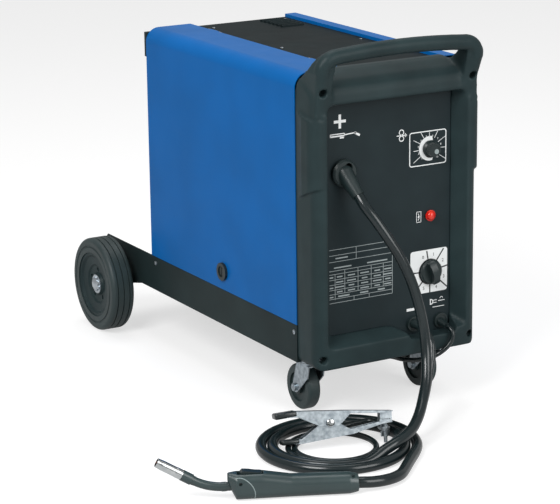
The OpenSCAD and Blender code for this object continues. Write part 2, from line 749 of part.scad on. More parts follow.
module caster_wheel(side) {
    w = caster_w / 2;
    color(RUBBER) translate([side * caster_x, swivel_y + caster_trail, caster_r]) rotate([0, 90, 0])
        rotate_extrude($fn = 64) difference() {
            union() {
                translate([4 + fit_gap, -w - 2]) square([8, 2 * w + 4]);
                translate([4 + fit_gap, -w + 4]) square([24, 2 * w - 8]);
                translate([26, -w]) square([caster_r - 32, 2 * w]);
                translate([26, -w + 6]) square([caster_r - 26, 2 * w - 12]);
                for (z = [-w + 6, w - 6]) translate([caster_r - 6, z]) circle(r = 6);
            }
        }
}

// ---------------------------------------------------------------- power parts behind the partition
core_at = [48, 20];
fan_at = [48, 150, 400];

module transformer_core() {
    color("#5d6468") difference() {
        translate([core_at.x - 70, core_at.y - 45, base_z + 8]) cube([140, 90, 120]);
        for (x = [-34, 34]) translate([core_at.x + x - 14, core_at.y - 50, base_z + 30]) cube([28, 100, 76]);
    }
    color("#5d6468") for (x = [-60, 60], y = [-38, 38]) translate([core_at.x + x, core_at.y + y, base_z + 2])
        cylinder(h = 128, r = 4);
}

module transformer_windings() {
    color(COPPER) difference() {
        translate([0, 0, base_z + 32]) linear_extrude(72) translate([core_at.x, core_at.y])
            round_rect(-47, -72, 47, 72, 16);
        translate([core_at.x - 20.3, core_at.y - 45.3, base_z + 20]) cube([40.6, 90.6, 100]);
    }
}

module rectifier_stack() {
    fins = 7;
    color("#a9afb4") {
        for (i = [0:fins - 1]) translate([0, -230 + 14 * i, 190]) cube([90, 2, 90]);
        translate([45, -232, 235]) rotate([-90, 0, 0]) cylinder(h = 14 * fins - 8, r = 9);
        translate([20, -226, base_z + 2]) cube([50, 72, 4]);
        for (y = [-226, -166]) translate([42, y, base_z + 2]) cube([6, 12, 90]);
    }
}

module fan_motor() {
    color("#3f4447") {
        translate([fan_at.x, 0, fan_at.z]) rod_y(fan_at.y - 50, 42, 28);
        translate([fan_at.x, 0, fan_at.z]) rod_y(fan_at.y - 10, 34, 4);
        for (a = [45:90:315]) translate([fan_at.x, 0, fan_at.z]) rotate([0, a, 0])
            translate([20, fan_at.y - 44, -3]) cube([66, 4, 6]);
        for (x = [-61, 61], z = [-61, 61]) translate([fan_at.x + x, 0, fan_at.z + z])
            rod_y(fan_at.y - 46, case_rear - fan_at.y + 44, 4);
    }
}

module fan_blades() {
    blades = 5;
    color("#30363a") translate([fan_at.x, fan_at.y, fan_at.z]) rotate([-90, 0, 0]) difference() {
        union() {
            cylinder(h = 20, r = 14);
            for (i = [0:blades - 1]) rotate(i * 360 / blades) translate([10, 0, 10]) rotate([32, 0, 0])
                translate([0, -13, -1]) cube([46, 26, 2]);
        }
        translate([0, 0, -1]) cylinder(h = 30, r = 4 + fit_gap);
    }
}

// ---------------------------------------------------------------- wire feeder behind the door
wire_z = torch_at.y;
feed_x = torch_at.x;
drive_at = [-190, wire_z - 0.6 - drive_roll_d / 2];
press_at = [-190, wire_z + 0.6 + pressure_roll_d / 2];
arm_pivot = [-158, wire_z + 14];
spool_at = [30, 330];
spool_x0 = -half_w + 18;
plate_x = -strip_in - 10;

module feed_motor() {
    color("#4a5054") translate([0, drive_at.x, drive_at.y]) {
        rod_x(-strip_in + 4, 84, 26);
        rod_x(-strip_in + 2.5, 2, 30);
        rod_x(feed_x - 12, 44, 5);
    }
}

module feed_plate() {
    color("#8e959a") difference() {
        union() {
            translate([plate_x, drive_at.x - 48, wire_z - 52]) cube([11, 104, 104]);
            // brass guides in line with the wire
            translate([feed_x, drive_at.x - 48, wire_z]) rod_y(0, 26, 5);
            translate([feed_x, drive_at.x + 22, wire_z]) rod_y(0, 34, 5);
            translate([plate_x - 22, drive_at.x - 46, wire_z - 7]) cube([24, 20, 12]);
            translate([plate_x - 22, drive_at.x + 30, wire_z - 7]) cube([24, 20, 12]);
            // carrier tube from the rolls to the torch gland
            translate([feed_x, 0, wire_z]) rod_y(panel_y + 15, drive_at.x - 40 - panel_y - 15, 7);
        }
        translate([0, drive_at.x, drive_at.y]) rod_x(plate_x - 1, 20, 5.5);
        translate([0, arm_pivot.x, arm_pivot.y]) rod_x(plate_x - 1, 4, 3.5);
    }
    // pivot pin of the pressure arm
    color("#8e959a") translate([0, arm_pivot.x, arm_pivot.y]) rod_x(feed_x - 9, plate_x - feed_x + 12, 3.5);
}

// Grooved roll on the motor shaft.
module roll(at, d, bore, w) {
    translate([feed_x, at.x, at.y]) rotate([0, 90, 0]) rotate_extrude($fn = 64) difference() {
        translate([bore, -w / 2]) square([d / 2 - bore, w]);
        translate([d / 2, 0]) circle(r = 0.5, $fn = 16);
    }
}

module drive_roll() {
    color(STEEL) roll(drive_at, drive_roll_d, 5 + fit_gap, 12);
}

module pressure_roll() {
    color(STEEL) roll(press_at, pressure_roll_d, 3 + fit_gap, 8);
}

// Lever above the rolls: it carries the pressure roll and swings up on its pivot.
module pressure_arm() {
    color("#2b2f33") difference() {
        union() {
            for (x = [feed_x - 9, feed_x + 5]) slab_x(x, 4) {
                polygon([[press_at.x - 34, press_at.y + 4], [press_at.x - 34, press_at.y + 16],
                    [arm_pivot.x, arm_pivot.y + 14], [arm_pivot.x, arm_pivot.y - 2], [press_at.x, press_at.y - 6]]);
                translate([arm_pivot.x, arm_pivot.y]) circle(r = 8);
            }
            translate([feed_x - 9, press_at.x - 34, press_at.y + 6]) cube([18, 14, 8]);
            translate([0, press_at.x, press_at.y]) rod_x(feed_x - 9, 18, 3);
        }
        translate([0, arm_pivot.x, arm_pivot.y]) rod_x(feed_x - 12, 26, 3.5 + fit_gap);
        translate([feed_x, press_at.x - 27, press_at.y]) cylinder(h = 20, r = 3 + fit_gap);
    }
}

module tension_knob() {
    color("#8c1f1a") translate([feed_x, press_at.x - 27, press_at.y]) difference() {
        union() {
            translate([0, 0, 3]) cylinder(h = 14, r = 3);
            translate([0, 0, 16.3]) cylinder(h = 22, r = 8);
            translate([0, 0, 38.3]) cylinder(h = 3, r1 = 8, r2 = 6);
        }
        for (i = [0:9]) rotate(36 * i) translate([8.4, 0, 20]) cylinder(h = 22, r = 1.1);
    }
}

module spool_spindle() {
    color("#8e959a") translate([0, spool_at.x, spool_at.y]) {
        rod_x(-strip_in - 6, 7, 34);
        rod_x(spool_x0 + 2, -strip_in - 5 - spool_x0, 24.9);
        rod_x(spool_x0 - 8, 12, 12);
    }
}

module wire_spool() {
    holes = 6;
    t = 3;
    color("#22262a") translate([spool_x0, spool_at.x, spool_at.y]) rotate([0, 90, 0]) difference() {
        union() {
            cylinder(h = t, r = spool_d / 2, $fn = 96);
            translate([0, 0, spool_w - t]) cylinder(h = t, r = spool_d / 2, $fn = 96);
            cylinder(h = spool_w, r = 30);
        }
        translate([0, 0, -1]) cylinder(h = spool_w + 2, r = 24.9 + fit_gap);
        for (i = [0:holes - 1]) rotate(i * 60) translate([58, 0, -1]) cylinder(h = spool_w + 2, r = 13);
    }
}

module spool_wire() {
    color(COPPER) translate([spool_x0 + 3, spool_at.x, spool_at.y]) rotate([0, 90, 0]) difference() {
        cylinder(h = spool_w - 6, r = 0.41 * spool_d, $fn = 96);
        translate([0, 0, -1]) cylinder(h = spool_w, r = 30);
    }
}

// ---------------------------------------------------------------- leads
function unit(v) = v / norm(v);
function heading(path, i) = unit(path[min(i + 1, len(path) - 1)] - path[max(i - 1, 0)]);

// Ring of points round a path point, square to dir; up fixes where the ring starts.
function ring(centre, dir, up, r, sides) =
    let (u = unit(cross(dir, up)), v = cross(u, dir))
    [for (k = [0:sides - 1]) centre + r * (cos(k * 360 / sides) * u + sin(k * 360 / sides) * v)];

// Tube swept along a path; its last face is square to leave.
module tube(path, d, sides, up, leave) {
    n = len(path) - 1;
    points = [for (i = [0:n]) each ring(path[i], i == n ? unit(leave) : heading(path, i), up, d / 2, sides)];
    walls = [for (i = [0:n - 1], k = [0:sides - 1])
        let (a = i * sides + k, b = i * sides + (k + 1) % sides) each [[a, b, b + sides], [a, b + sides, a + sides]]];
    caps = [for (k = [1:sides - 2]) each [[0, k + 1, k], [n * sides, n * sides + k, n * sides + k + 1]]];
    polyhedron(points = points, faces = concat(walls, caps));
}

// Flat spiral, 24 points a turn: way is -1 for clockwise seen from above; flat draws it in at the back.
function spiral(at, r, step, start, turns, way, z, flat = 0) = [for (i = [0:24 * turns])
    let (a = start + way * 15 * i, q = r + step * i / 24 - flat * pow(max(0, sin(a)), 2))
        [at.x + q * cos(a), at.y + q * sin(a), z]];

function finer(path) = [for (i = [0:len(path) - 2], t = [0, 0.5]) path[i] * (1 - t) + path[i + 1] * t];

// Least gap of a tube to itself, leaving out the points that follow closely on each other.
function self_gap(path, d, apart) = let (q = finer(path))
    min([for (i = [0:len(q) - 1], j = [i + apart:1:len(q) - 1]) norm(q[i] - q[j])]) - d;

function rise(path, z) = let (n = len(path) - 1) [for (i = [0:n]) [path[i].x, path[i].y, path[i].z + (z - path[i].z) * i / n]];

// Torch cable's coil: a spiral outwards, a straight and an arc into the back of the torch handle.
torch_end_a = -90 - 360 * torch_turns;
torch_heading = torch_end_a - 90;
tail_l = 100;
tail_r = 84;
tail_turn = 69;
torch_rest_z = 16;
torch_out = torch_coil_r + torch_coil_step * torch_turns;
spiral_end = [torch_coil_at.x + torch_out * cos(torch_end_a), torch_coil_at.y + torch_out * sin(torch_end_a)];
tail_bend = spiral_end + tail_l * [cos(torch_heading), sin(torch_heading)];
tail_centre = tail_bend + tail_r * [cos(torch_heading - 90), sin(torch_heading - 90)];
torch_aim = torch_heading - tail_turn;
handle_at = tail_centre + tail_r * [cos(torch_aim + 90), sin(torch_aim + 90)];
cable_socket = 62;
tail_arc = [for (i = [0:5]) let (a = torch_heading + 90 - tail_turn * i / 5)
    [tail_centre.x + tail_r * cos(a), tail_centre.y + tail_r * sin(a), torch_cable_d / 2]];
torch_coil_path = concat([torch_route[16]],
    spiral(torch_coil_at, torch_coil_r, torch_coil_step, -90, torch_turns, -1, torch_cable_d / 2, torch_coil_flat),
    [[(spiral_end.x + tail_bend.x) / 2, (spiral_end.y + tail_bend.y) / 2, torch_cable_d / 2]],
    rise(tail_arc, torch_rest_z),
    [[handle_at.x + cable_socket * cos(torch_aim), handle_at.y + cable_socket * sin(torch_aim), torch_rest_z]]);

module torch_cable() {
    color(RUBBER) tube(torch_route, torch_cable_d, 8, [1, -1, 0], torch_coil_path[1] - torch_coil_path[0]);
}

module torch_coil() {
    echo(torch_coil_gap = self_gap(torch_coil_path, torch_cable_d, 20));
    color(RUBBER) tube(torch_coil_path, torch_cable_d, 6, [0, 0, 1], [cos(torch_aim), sin(torch_aim), 0]);
}

// Earth cable's coil: a spiral inwards, then a long low hump over its first turn into the clamp's lug.
earth_tail = [[-170, -430.5, 8], [-154, -435, 12.5], [-140, -438.5, 16], [-127, -440.5, 18],
    [-114, -441.5, 18], [-102, -443, 18.7], [-91.5, -447.5, 20], [-86, -456, 20.7], [-85, -467.5, 19.8]];
clamp_at = [-183, -469, 41.5];
clamp_turn = [-15, 1.5, -17];
lug_at = [95, 24, -14];

// Place and direction in the world of a point and a vector on the clamp.
function turned(v) = let (a = [v.x, v.y * cos(clamp_turn.x) - v.z * sin(clamp_turn.x),
        v.y * sin(clamp_turn.x) + v.z * cos(clamp_turn.x)],
    b = [a.x * cos(clamp_turn.y) + a.z * sin(clamp_turn.y), a.y, -a.x * sin(clamp_turn.y) + a.z * cos(clamp_turn.y)])
    [b.x * cos(clamp_turn.z) - b.y * sin(clamp_turn.z), b.x * sin(clamp_turn.z) + b.y * cos(clamp_turn.z), b.z];
lug_end = clamp_at + turned(lug_at);
lug_in = turned([0, -1, 0]);
earth_coil_path = concat([earth_route[14]],
    spiral(earth_coil_at, earth_coil_r, earth_coil_step, -90, earth_turns, -1, earth_cable_d / 2),
    earth_tail, [lug_end]);

module earth_cable() {
    color(RUBBER) tube(earth_route, earth_cable_d, 8, [1, -1, 0], earth_coil_path[1] - earth_coil_path[0]);
}

module earth_coil() {
    echo(earth_coil_gap = self_gap(earth_coil_path, earth_cable_d, 12));
    color(RUBBER) tube(earth_coil_path, earth_cable_d, 6, [0, 0, 1], lug_in);
}

// Mains cord's coil: in and out again in two layers, with the climb round the point of reversal.
function mains_r(t) = mains_coil_r - mains_coil_step * (t < mains_reverse ? t : 2 * mains_reverse - t);
function mains_z(t) = 4.2 + mains_coil_step * min(1, max(0, 2 * (t - mains_reverse) + 0.5));
plug_z = 18.5;
plug_x = mains_coil_at.x + mains_r(mains_turns);
plug_y = mains_coil_at.y + 58;
mains_coil_path = concat([mains_route[28]],
    [for (i = [0:24 * mains_turns]) let (t = i / 24, a = 360 * t)
        [mains_coil_at.x + mains_r(t) * cos(a), mains_coil_at.y + mains_r(t) * sin(a), mains_z(t)]],
    [[plug_x, plug_y - 42, 14], [plug_x, plug_y - 25, 16.8], [plug_x, plug_y - 8, plug_z], [plug_x, plug_y, plug_z]]);

module mains_cord() {
    color(RUBBER) tube(mains_route, mains_cord_d, 8, [0.6, 0, 0.8], [0, 1, 0]);
}

module mains_coil() {
    echo(mains_coil_gap = self_gap(mains_coil_path, mains_cord_d, 12));
    color(RUBBER) tube(mains_coil_path, mains_cord_d, 6, [0, 0, 1], [0, 1, 0]);
}

// Straight earthed plug: relief, grip with flats, face and two pins.
module mains_plug() {
    color(RUBBER) translate([plug_x, plug_y, plug_z]) rotate([-90, 0, 0]) {
        cylinder(h = 26, r1 = mains_cord_d / 2 + 0.8, r2 = 7);
        translate([0, 0, 25]) cylinder(h = 14, r1 = 8, r2 = 17);
        difference() {
            translate([0, 0, 38]) cylinder(h = 28, r = 18);
            for (x = [-22, 16.5]) translate([x, -20, 38]) cube([5.5, 40, 12]);
            for (x = [-15.5, 15.5]) translate([x, 0, 50]) cylinder(h = 17, r = 3.2, $fn = 24);
        }
        for (x = [-9.5, 9.5]) translate([x, 0, 65]) {
            cylinder(h = 17, r = 2.4);
            translate([0, 0, 17]) cylinder(h = 2, r1 = 2.4, r2 = 1.4);
        }
    }
}

// ---------------------------------------------------------------- torch
handle_l = 203;
neck_at = [203, 20];
neck_bend = 95;
neck_rise = 30;
neck_straight = 6;
trigger_at = [152, 40];

module on_torch() {
    translate([handle_at.x, handle_at.y, 0]) rotate(torch_aim) children();
}

// Cross-section of the handle at x: half width w, from height z0 to z1, with round corners.
module handle_slice(x, w, z0, z1, r) {
    slab_x(x, 0.1) round_rect(-w, z0, w, z1, r, $fn = 32);
}

module torch_handle() {
    color(RUBBER) on_torch() difference() {
        union() {
            hull() {
                handle_slice(0, 13.5, 2.5, 30, 13);
                handle_slice(14, 17, 0.5, 33, 14);
            }
            hull() {
                handle_slice(14, 17, 0.5, 33, 14);
                handle_slice(104, 17.5, 0.5, 34.5, 14);
            }
            hull() {
                handle_slice(104, 17.5, 0.5, 34.5, 14);
                handle_slice(150, 18.5, 0.5, 42, 14);
            }
            hull() {
                handle_slice(150, 18.5, 0.5, 42, 14);
                handle_slice(190, 19, 0.5, 42, 14);
                translate([190, 0, 34]) rotate([0, 90, 0]) cylinder(h = handle_l - 190, r = 8, $fn = 32);
            }
        }
        // socket for the cable, seat for the neck, pocket for the trigger
        translate([-1, 0, torch_rest_z]) rotate([0, 90, 0]) cylinder(h = cable_socket + 1, r = torch_cable_d / 2 + 0.15);
        translate([neck_at.x - 26, 0, neck_at.y]) rotate([0, 90, 0]) cylinder(h = 60, r = 7.1);
        translate([trigger_at.x - 4, -7.5, trigger_at.y - 7]) cube([40, 15, 30]);
        for (x = [22, 128]) translate([x, -16, 17]) rotate([90, 0, 0]) cylinder(h = 5, r = 3);
    }
    // pin that the trigger rocks on
    color(RUBBER) on_torch() translate([trigger_at.x, 8, trigger_at.y]) rotate([90, 0, 0]) cylinder(h = 16, r = 1);
}

// Swan neck: a straight, then a bend upwards.
module on_neck_end() {
    translate([neck_at.x + neck_straight + neck_bend * sin(neck_rise), 0, neck_at.y + neck_bend * (1 - cos(neck_rise))])
        rotate([0, 90 - neck_rise, 0]) children();
}

module torch_neck() {
    color("#23282a") on_torch() {
        translate([neck_at.x - 24, 0, neck_at.y]) rotate([0, 90, 0]) cylinder(h = neck_straight + 23, r = 7);
        // thin sleeves over both ends of the bend
        translate([neck_at.x + neck_straight - 4, 0, neck_at.y]) rotate([0, 90, 0]) cylinder(h = 7, r = 7.5);
        translate([neck_at.x + neck_straight, 0, neck_at.y + neck_bend]) rotate([90, 0, 0])
            rotate(-89.4) rotate_extrude(angle = neck_rise - 1.2) translate([neck_bend, 0]) circle(r = 7);
        on_neck_end() {
            translate([0, 0, -3]) cylinder(h = 6, r = 7.5);
            translate([0, 0, 2]) cylinder(h = 17.1, r = 8.7);
            // threaded seat under the nozzle, with the gas diffuser
            translate([0, 0, 18]) cylinder(h = 10, r = 6.4);
        }
    }
}

module gas_nozzle() {
    color("#c9ced2") on_torch() on_neck_end() translate([0, 0, 19.2]) rotate_extrude(angle = 360)
        polygon([[6.5, 0], [8, 0], [8.3, 2], [8.3, 10], [8, 11], [8, 34], [7.5, 41], [7.5, 44], [6.2, 44], [6.5, 34]]);
}

module contact_tip() {
    color(COPPER) on_torch() on_neck_end() translate([0, 0, 28]) difference() {
        union() {
            cylinder(h = 25, r = 4);
            translate([0, 0, 25]) cylinder(h = 8, r1 = 4, r2 = 2.2);
        }
        translate([0, 0, 1]) cylinder(h = 40, r = 0.6);
    }
}

// Rocker in the top of the handle, hinged at its rear end.
module torch_trigger() {
    color("#3a3f42") on_torch() translate([trigger_at.x, 0, trigger_at.y]) difference() {
        union() {
            rotate([90, 0, 0]) cylinder(h = 13, r = 2.6, center = true);
            translate([0, -6.5, 0]) rotate([90, 0, 0]) mirror([0, 0, 1]) linear_extrude(13)
                polygon([[0, -2.4], [30, -1], [31, 3], [28, 6], [18, 5], [8, 3.2], [0, 2.6]]);
        }
        rotate([90, 0, 0]) cylinder(h = 20, r = 1 + fit_gap, center = true);
        for (i = [0:4]) translate([14 + 3 * i, 0, 6.4]) rotate([90, 0, 0]) cylinder(h = 20, r = 1, center = true, $fn = 16);
    }
}

// ---------------------------------------------------------------- earth clamp
clamp_sheet = 1.6;
clamp_pin_r = 4;

module on_clamp() {
    translate(clamp_at) rotate(clamp_turn) children();
}

module upper_2d() {
    polygon([[-90, 16], [-54, 21], [26, 18], [clamp_l, 13], [clamp_l - 6, 10], [34, 13], [17, -4], [0, -9],
        [-20, -4], [-53, 11.5], [-88, 11.5]]);
}

module lower_2d() {
    polygon([[-80, -31], [-48, -32], [39, -21], [82, -9], [clamp_l, -4], [82, -4], [34, -13], [19, -4], [0, 8],
        [-17, -2], [-48, -24], [-78, -27]]);
}

// Lever pressed from sheet into a channel: w is its width, side says which edge carries the web.
module channel(w, side) {
    difference() {
        slab_y(-w / 2, w) children();
        slab_y(-w / 2 + clamp_sheet, w - 2 * clamp_sheet) translate([0, -side * clamp_sheet]) children();
    }
}

module clamp_lower_jaw() {
    color(STEEL) on_clamp() {
        channel(20, -1) lower_2d();
        // jaw pad
        difference() {
            translate([84, -8.2, -6]) cube([clamp_l - 86, 16.4, 5.8]);
            for (x = [88:4:100]) translate([x, -9, -0.2]) rotate([0, 45, 0]) cube([1, 18, 1]);
        }
        // pivot pin with riveted heads
        rod_y(-14, 28, clamp_pin_r);
        for (y = [-15.7, 12.6]) rod_y(y, 3.1, 6.5);
        // bolt, wing nut and cable lug
        translate([95, 0, -39]) cylinder(h = 34, r = 3);
        translate([95, 0, -20]) cylinder(h = 4.5, r = 5.5, $fn = 24);
        each_wing() translate([0, 0, -28.5]) cube([10, 2.2, 9]);
        translate([95, 0, -29]) cylinder(h = 8, r = 5);
        translate([95, 0, lug_at.z - 2]) cylinder(h = 3, r = 8);
        translate([90.5, 0, lug_at.z - 1.8]) cube([9, 12, 2.6]);
        translate([95, 0, lug_at.z]) rod_y(6.5, lug_at.y - 6.5, 6.4);
    }
}

module each_wing() {
    for (turn = [40, 220]) translate([95, 0, 0]) rotate(turn) translate([2, -1.1, 0]) children();
}

module clamp_upper_jaw() {
    color(STEEL) on_clamp() difference() {
        union() {
            channel(25, 1) upper_2d();
            translate([85, -8.2, 0.2]) cube([clamp_l - 87, 16.4, 13]);
        }
        rod_y(-20, 40, clamp_pin_r + fit_gap);
        for (x = [88:4:100]) translate([x, -9, 0.2]) rotate([0, 45, 0]) cube([1, 18, 1]);
    }
}

// Torsion spring round the pivot pin, with a short leg at each end.
spring_d = 2.2;
spring_r = 7.2;
spring_curls = 4;
spring_path = concat([[-14, -5.4, -spring_r], [-7, -5.4, -spring_r]],
    [for (i = [0:8 * spring_curls + 4]) let (a = -90 + 45 * i)
        [spring_r * cos(a), -5.4 + 2.7 * i / 8, spring_r * sin(a)]],
    [[-7, 6.8, spring_r], [-14, 6.8, spring_r]]);

module clamp_spring() {
    echo(clamp_spring_gap = self_gap(spring_path, spring_d, 8));
    color("#8f969b") on_clamp() tube(spring_path, spring_d, 6, [0, 1, 0], [-1, 0, 0]);
}

base_tray();
front_bezel();
control_panel();
top_cover();
right_side_panel();
rear_panel();
centre_partition();
bottle_bracket();
door_hinges();
rear_axle();
axle_caps();
caster_plates();
torch_gland();
cable_glands();
thermal_lamp();
case_screws();
transformer_core();
transformer_windings();
rectifier_stack();
panel_electrics();
fan_motor();
feed_motor();
feed_plate();
spool_spindle();
gas_fitting();
torch_cable();
torch_coil();
torch_handle();
torch_neck();
gas_nozzle();
contact_tip();
earth_cable();
earth_coil();
clamp_lower_jaw();
clamp_spring();
mains_cord();
mains_coil();
mains_plug();
side_door();
door_latch();
wire_speed_knob();
power_switch_knob();
torch_trigger();
clamp_upper_jaw();
wheel_rim(-1);  // left_wheel_rim
wheel_rim(1);  // right_wheel_rim
tyre(-1);  // left_tyre
tyre(1);  // right_tyre
caster_fork(-1);  // left_caster_fork
caster_fork(1);  // right_caster_fork
caster_wheel(-1);  // left_caster_wheel
caster_wheel(1);  // right_caster_wheel
wire_spool();
spool_wire();
drive_roll();
pressure_arm();
pressure_roll();
tension_knob();
fan_blades();
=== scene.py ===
# %% [markdown]
# # A MIG welder on a wheeled cart
# A MIG welder is a steel case full of heavy electrical parts, so it rides on two big wheels and two
# swivel casters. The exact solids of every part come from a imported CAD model. This lesson dresses
# them: each finish is built from shader nodes, and the soft or moulded parts are modelled again with
# the roundness that the real ones have.

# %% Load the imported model
import json
import math

import bpy
from mathutils import Matrix, Vector

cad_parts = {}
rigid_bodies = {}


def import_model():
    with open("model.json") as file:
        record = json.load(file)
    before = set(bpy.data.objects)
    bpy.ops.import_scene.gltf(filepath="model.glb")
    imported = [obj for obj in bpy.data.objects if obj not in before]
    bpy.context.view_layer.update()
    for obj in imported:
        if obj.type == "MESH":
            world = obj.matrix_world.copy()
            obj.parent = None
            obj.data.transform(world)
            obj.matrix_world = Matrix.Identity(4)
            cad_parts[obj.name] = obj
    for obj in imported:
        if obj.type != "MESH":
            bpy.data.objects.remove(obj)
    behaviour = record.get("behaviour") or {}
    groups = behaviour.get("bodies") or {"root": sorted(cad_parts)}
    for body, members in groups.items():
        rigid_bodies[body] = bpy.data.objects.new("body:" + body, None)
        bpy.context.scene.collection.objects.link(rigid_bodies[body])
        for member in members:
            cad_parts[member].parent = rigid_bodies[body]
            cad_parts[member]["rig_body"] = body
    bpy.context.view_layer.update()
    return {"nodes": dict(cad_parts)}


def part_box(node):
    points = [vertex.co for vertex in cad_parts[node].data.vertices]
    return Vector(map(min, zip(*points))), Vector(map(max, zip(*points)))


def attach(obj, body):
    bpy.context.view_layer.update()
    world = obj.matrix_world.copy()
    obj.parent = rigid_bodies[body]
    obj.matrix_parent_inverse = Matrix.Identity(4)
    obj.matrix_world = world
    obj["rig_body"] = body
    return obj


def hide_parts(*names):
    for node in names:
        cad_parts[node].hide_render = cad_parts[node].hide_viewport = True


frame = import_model()
NODES = frame["nodes"]
MM = 0.001
print("parts loaded:", len(NODES))

# %% [markdown]
# ## The camera
# A long lens from far away keeps the machine's parallel edges almost parallel. The camera stands
# about four metres away, at about twice the height of the handle and to the left of the front, and
# is tipped by under one degree. Its matrix is built from three directions: right, up and back.

# %% Place the camera
aim_point = Vector((-0.02488, -0.042, 0.20864))
camera_distance, lens_mm = 4.0907, 145.76
azimuth, elevation, roll = math.radians(-29.92), math.radians(15.13), math.radians(-0.7)
back = Vector((math.sin(azimuth) * math.cos(elevation), -math.cos(azimuth) * math.cos(elevation),
               math.sin(elevation)))
right = Vector((math.cos(azimuth), math.sin(azimuth), 0))
up = back.cross(right)
tipped_right = right * math.cos(roll) + up * math.sin(roll)
tipped_up = up * math.cos(roll) - right * math.sin(roll)
camera_data = bpy.data.cameras.new("camera")
camera_data.lens = lens_mm
camera_data.sensor_width = 36
camera_data.clip_end = 50
camera = bpy.data.objects.new("camera", camera_data)
bpy.context.scene.collection.objects.link(camera)
place = Matrix((tipped_right, tipped_up, back)).transposed().to_4x4()
place.translation = aim_point + back * camera_distance
camera.matrix_world = place
bpy.context.scene.camera = camera

# %% [markdown]
# ## The three leads
# A cable is one length of something flexible, so it is one curve with a round section. The torch
# cable and the earth cable leave the front, fall to the floor and lie in a loose coil. The mains cord
# runs back under the machine, where its spare length is wound up. A Catmull-Rom curve passes through
# every point that it is given, so a few measured points give a smooth run. Points are in millimetres.


# %% Curves through points
def smooth_run(points, steps=6):
    """Catmull-Rom curve through the points, in metres, as a dense list."""
    p = [Vector(q) * MM for q in points]
    p = [2 * p[0] - p[1]] + p + [2 * p[-1] - p[-2]]
    run = []
    for i in range(1, len(p) - 2):
        for k in range(steps):
            t = k / steps
            run.append(0.5 * (2 * p[i] + (p[i + 1] - p[i - 1]) * t
                              + (2 * p[i - 1] - 5 * p[i] + 4 * p[i + 1] - p[i + 2]) * t * t
                              + (3 * p[i] - p[i - 1] - 3 * p[i + 1] + p[i + 2]) * t ** 3))
    return run + [p[-2]]


def run_length(run):
    """Length of a dense run, in metres."""
    return sum((b - a).length for a, b in zip(run, run[1:]))


POINTS_A_TURN = 24


def spiral(centre, radius, step, start, turns, height, flat=0):
    """Flat spiral, clockwise seen from above; step is its growth in a turn, flat draws in its back."""
    points = []
    for i in range(int(POINTS_A_TURN * turns) + 1):
        a = math.radians(start - 360 / POINTS_A_TURN * i)
        r = radius + step * i / POINTS_A_TURN - flat * max(0, math.sin(a)) ** 2
        points.append((centre[0] + r * math.cos(a), centre[1] + r * math.sin(a), height))
    return points


def lead(name, run, diameter):
    """One open round curve that follows the run."""
    curve = bpy.data.curves.new(name, "CURVE")
    curve.dimensions = "3D"
    curve.bevel_depth = diameter / 2
    curve.bevel_resolution = 6
    curve.use_fill_caps = True
    spline = curve.splines.new("POLY")
    spline.points.add(len(run) - 1)
    for point, q in zip(spline.points, run):
        point.co = (*q, 1)
    piece = bpy.data.objects.new(name, curve)
    bpy.context.scene.collection.objects.link(piece)
    return piece


# %% The torch cable's run
torch_fall = [(-82, -401, 394), (-78, -414, 379), (-67, -429, 357), (-50, -442, 326), (-32, -452, 291),
              (-16, -460, 251), (-5, -466, 209), (1, -472, 167), (-1, -482, 127), (-13, -500, 92),
              (-32, -519, 67), (-54, -540, 50), (-79, -560, 39), (-104, -574, 33), (-127, -581, 28),
              (-146, -582.5, 21.5), (-163, -584, 14)]
torch_d = 18
torch_coil_at, torch_coil_r, torch_step, torch_turns, torch_flat = (-182, -487.5), 98, 19.1, 1.875, 10
tail_l, tail_r, tail_turn = 100, 84, 69
torch_rest, cable_socket = 16, 62


def along(degrees):
    """Level direction at an angle from the x axis, anticlockwise seen from above."""
    return Vector((math.cos(math.radians(degrees)), math.sin(math.radians(degrees)), 0))


torch_end_a = -90 - 360 * torch_turns
torch_heading = torch_end_a - 90
torch_aim = torch_heading - tail_turn
spiral_end = Vector((*torch_coil_at, 0)) + (torch_coil_r + torch_step * torch_turns) * along(torch_end_a)
tail_bend = spiral_end + tail_l * along(torch_heading)
tail_centre = tail_bend + tail_r * along(torch_heading - 90)
handle_at = tail_centre + tail_r * along(torch_aim + 90)
torch_tail, tail_steps = [], 5
for i in range(tail_steps + 1):
    q = tail_centre + tail_r * along(torch_heading + 90 - tail_turn * i / tail_steps)
    torch_tail.append((q.x, q.y, torch_d / 2 + (torch_rest - torch_d / 2) * i / tail_steps))
mid = (spiral_end + tail_bend) / 2
socket_end = handle_at + cable_socket * along(torch_aim)
torch_points = (torch_fall
                + spiral(torch_coil_at, torch_coil_r, torch_step, -90, torch_turns, torch_d / 2, torch_flat)
                + [(mid.x, mid.y, torch_d / 2)] + torch_tail + [(socket_end.x, socket_end.y, torch_rest)])
torch_run = smooth_run(torch_points)
torch_lead = lead("torch_lead", torch_run, torch_d * MM)
print("torch cable:", round(run_length(torch_run), 3), "m")

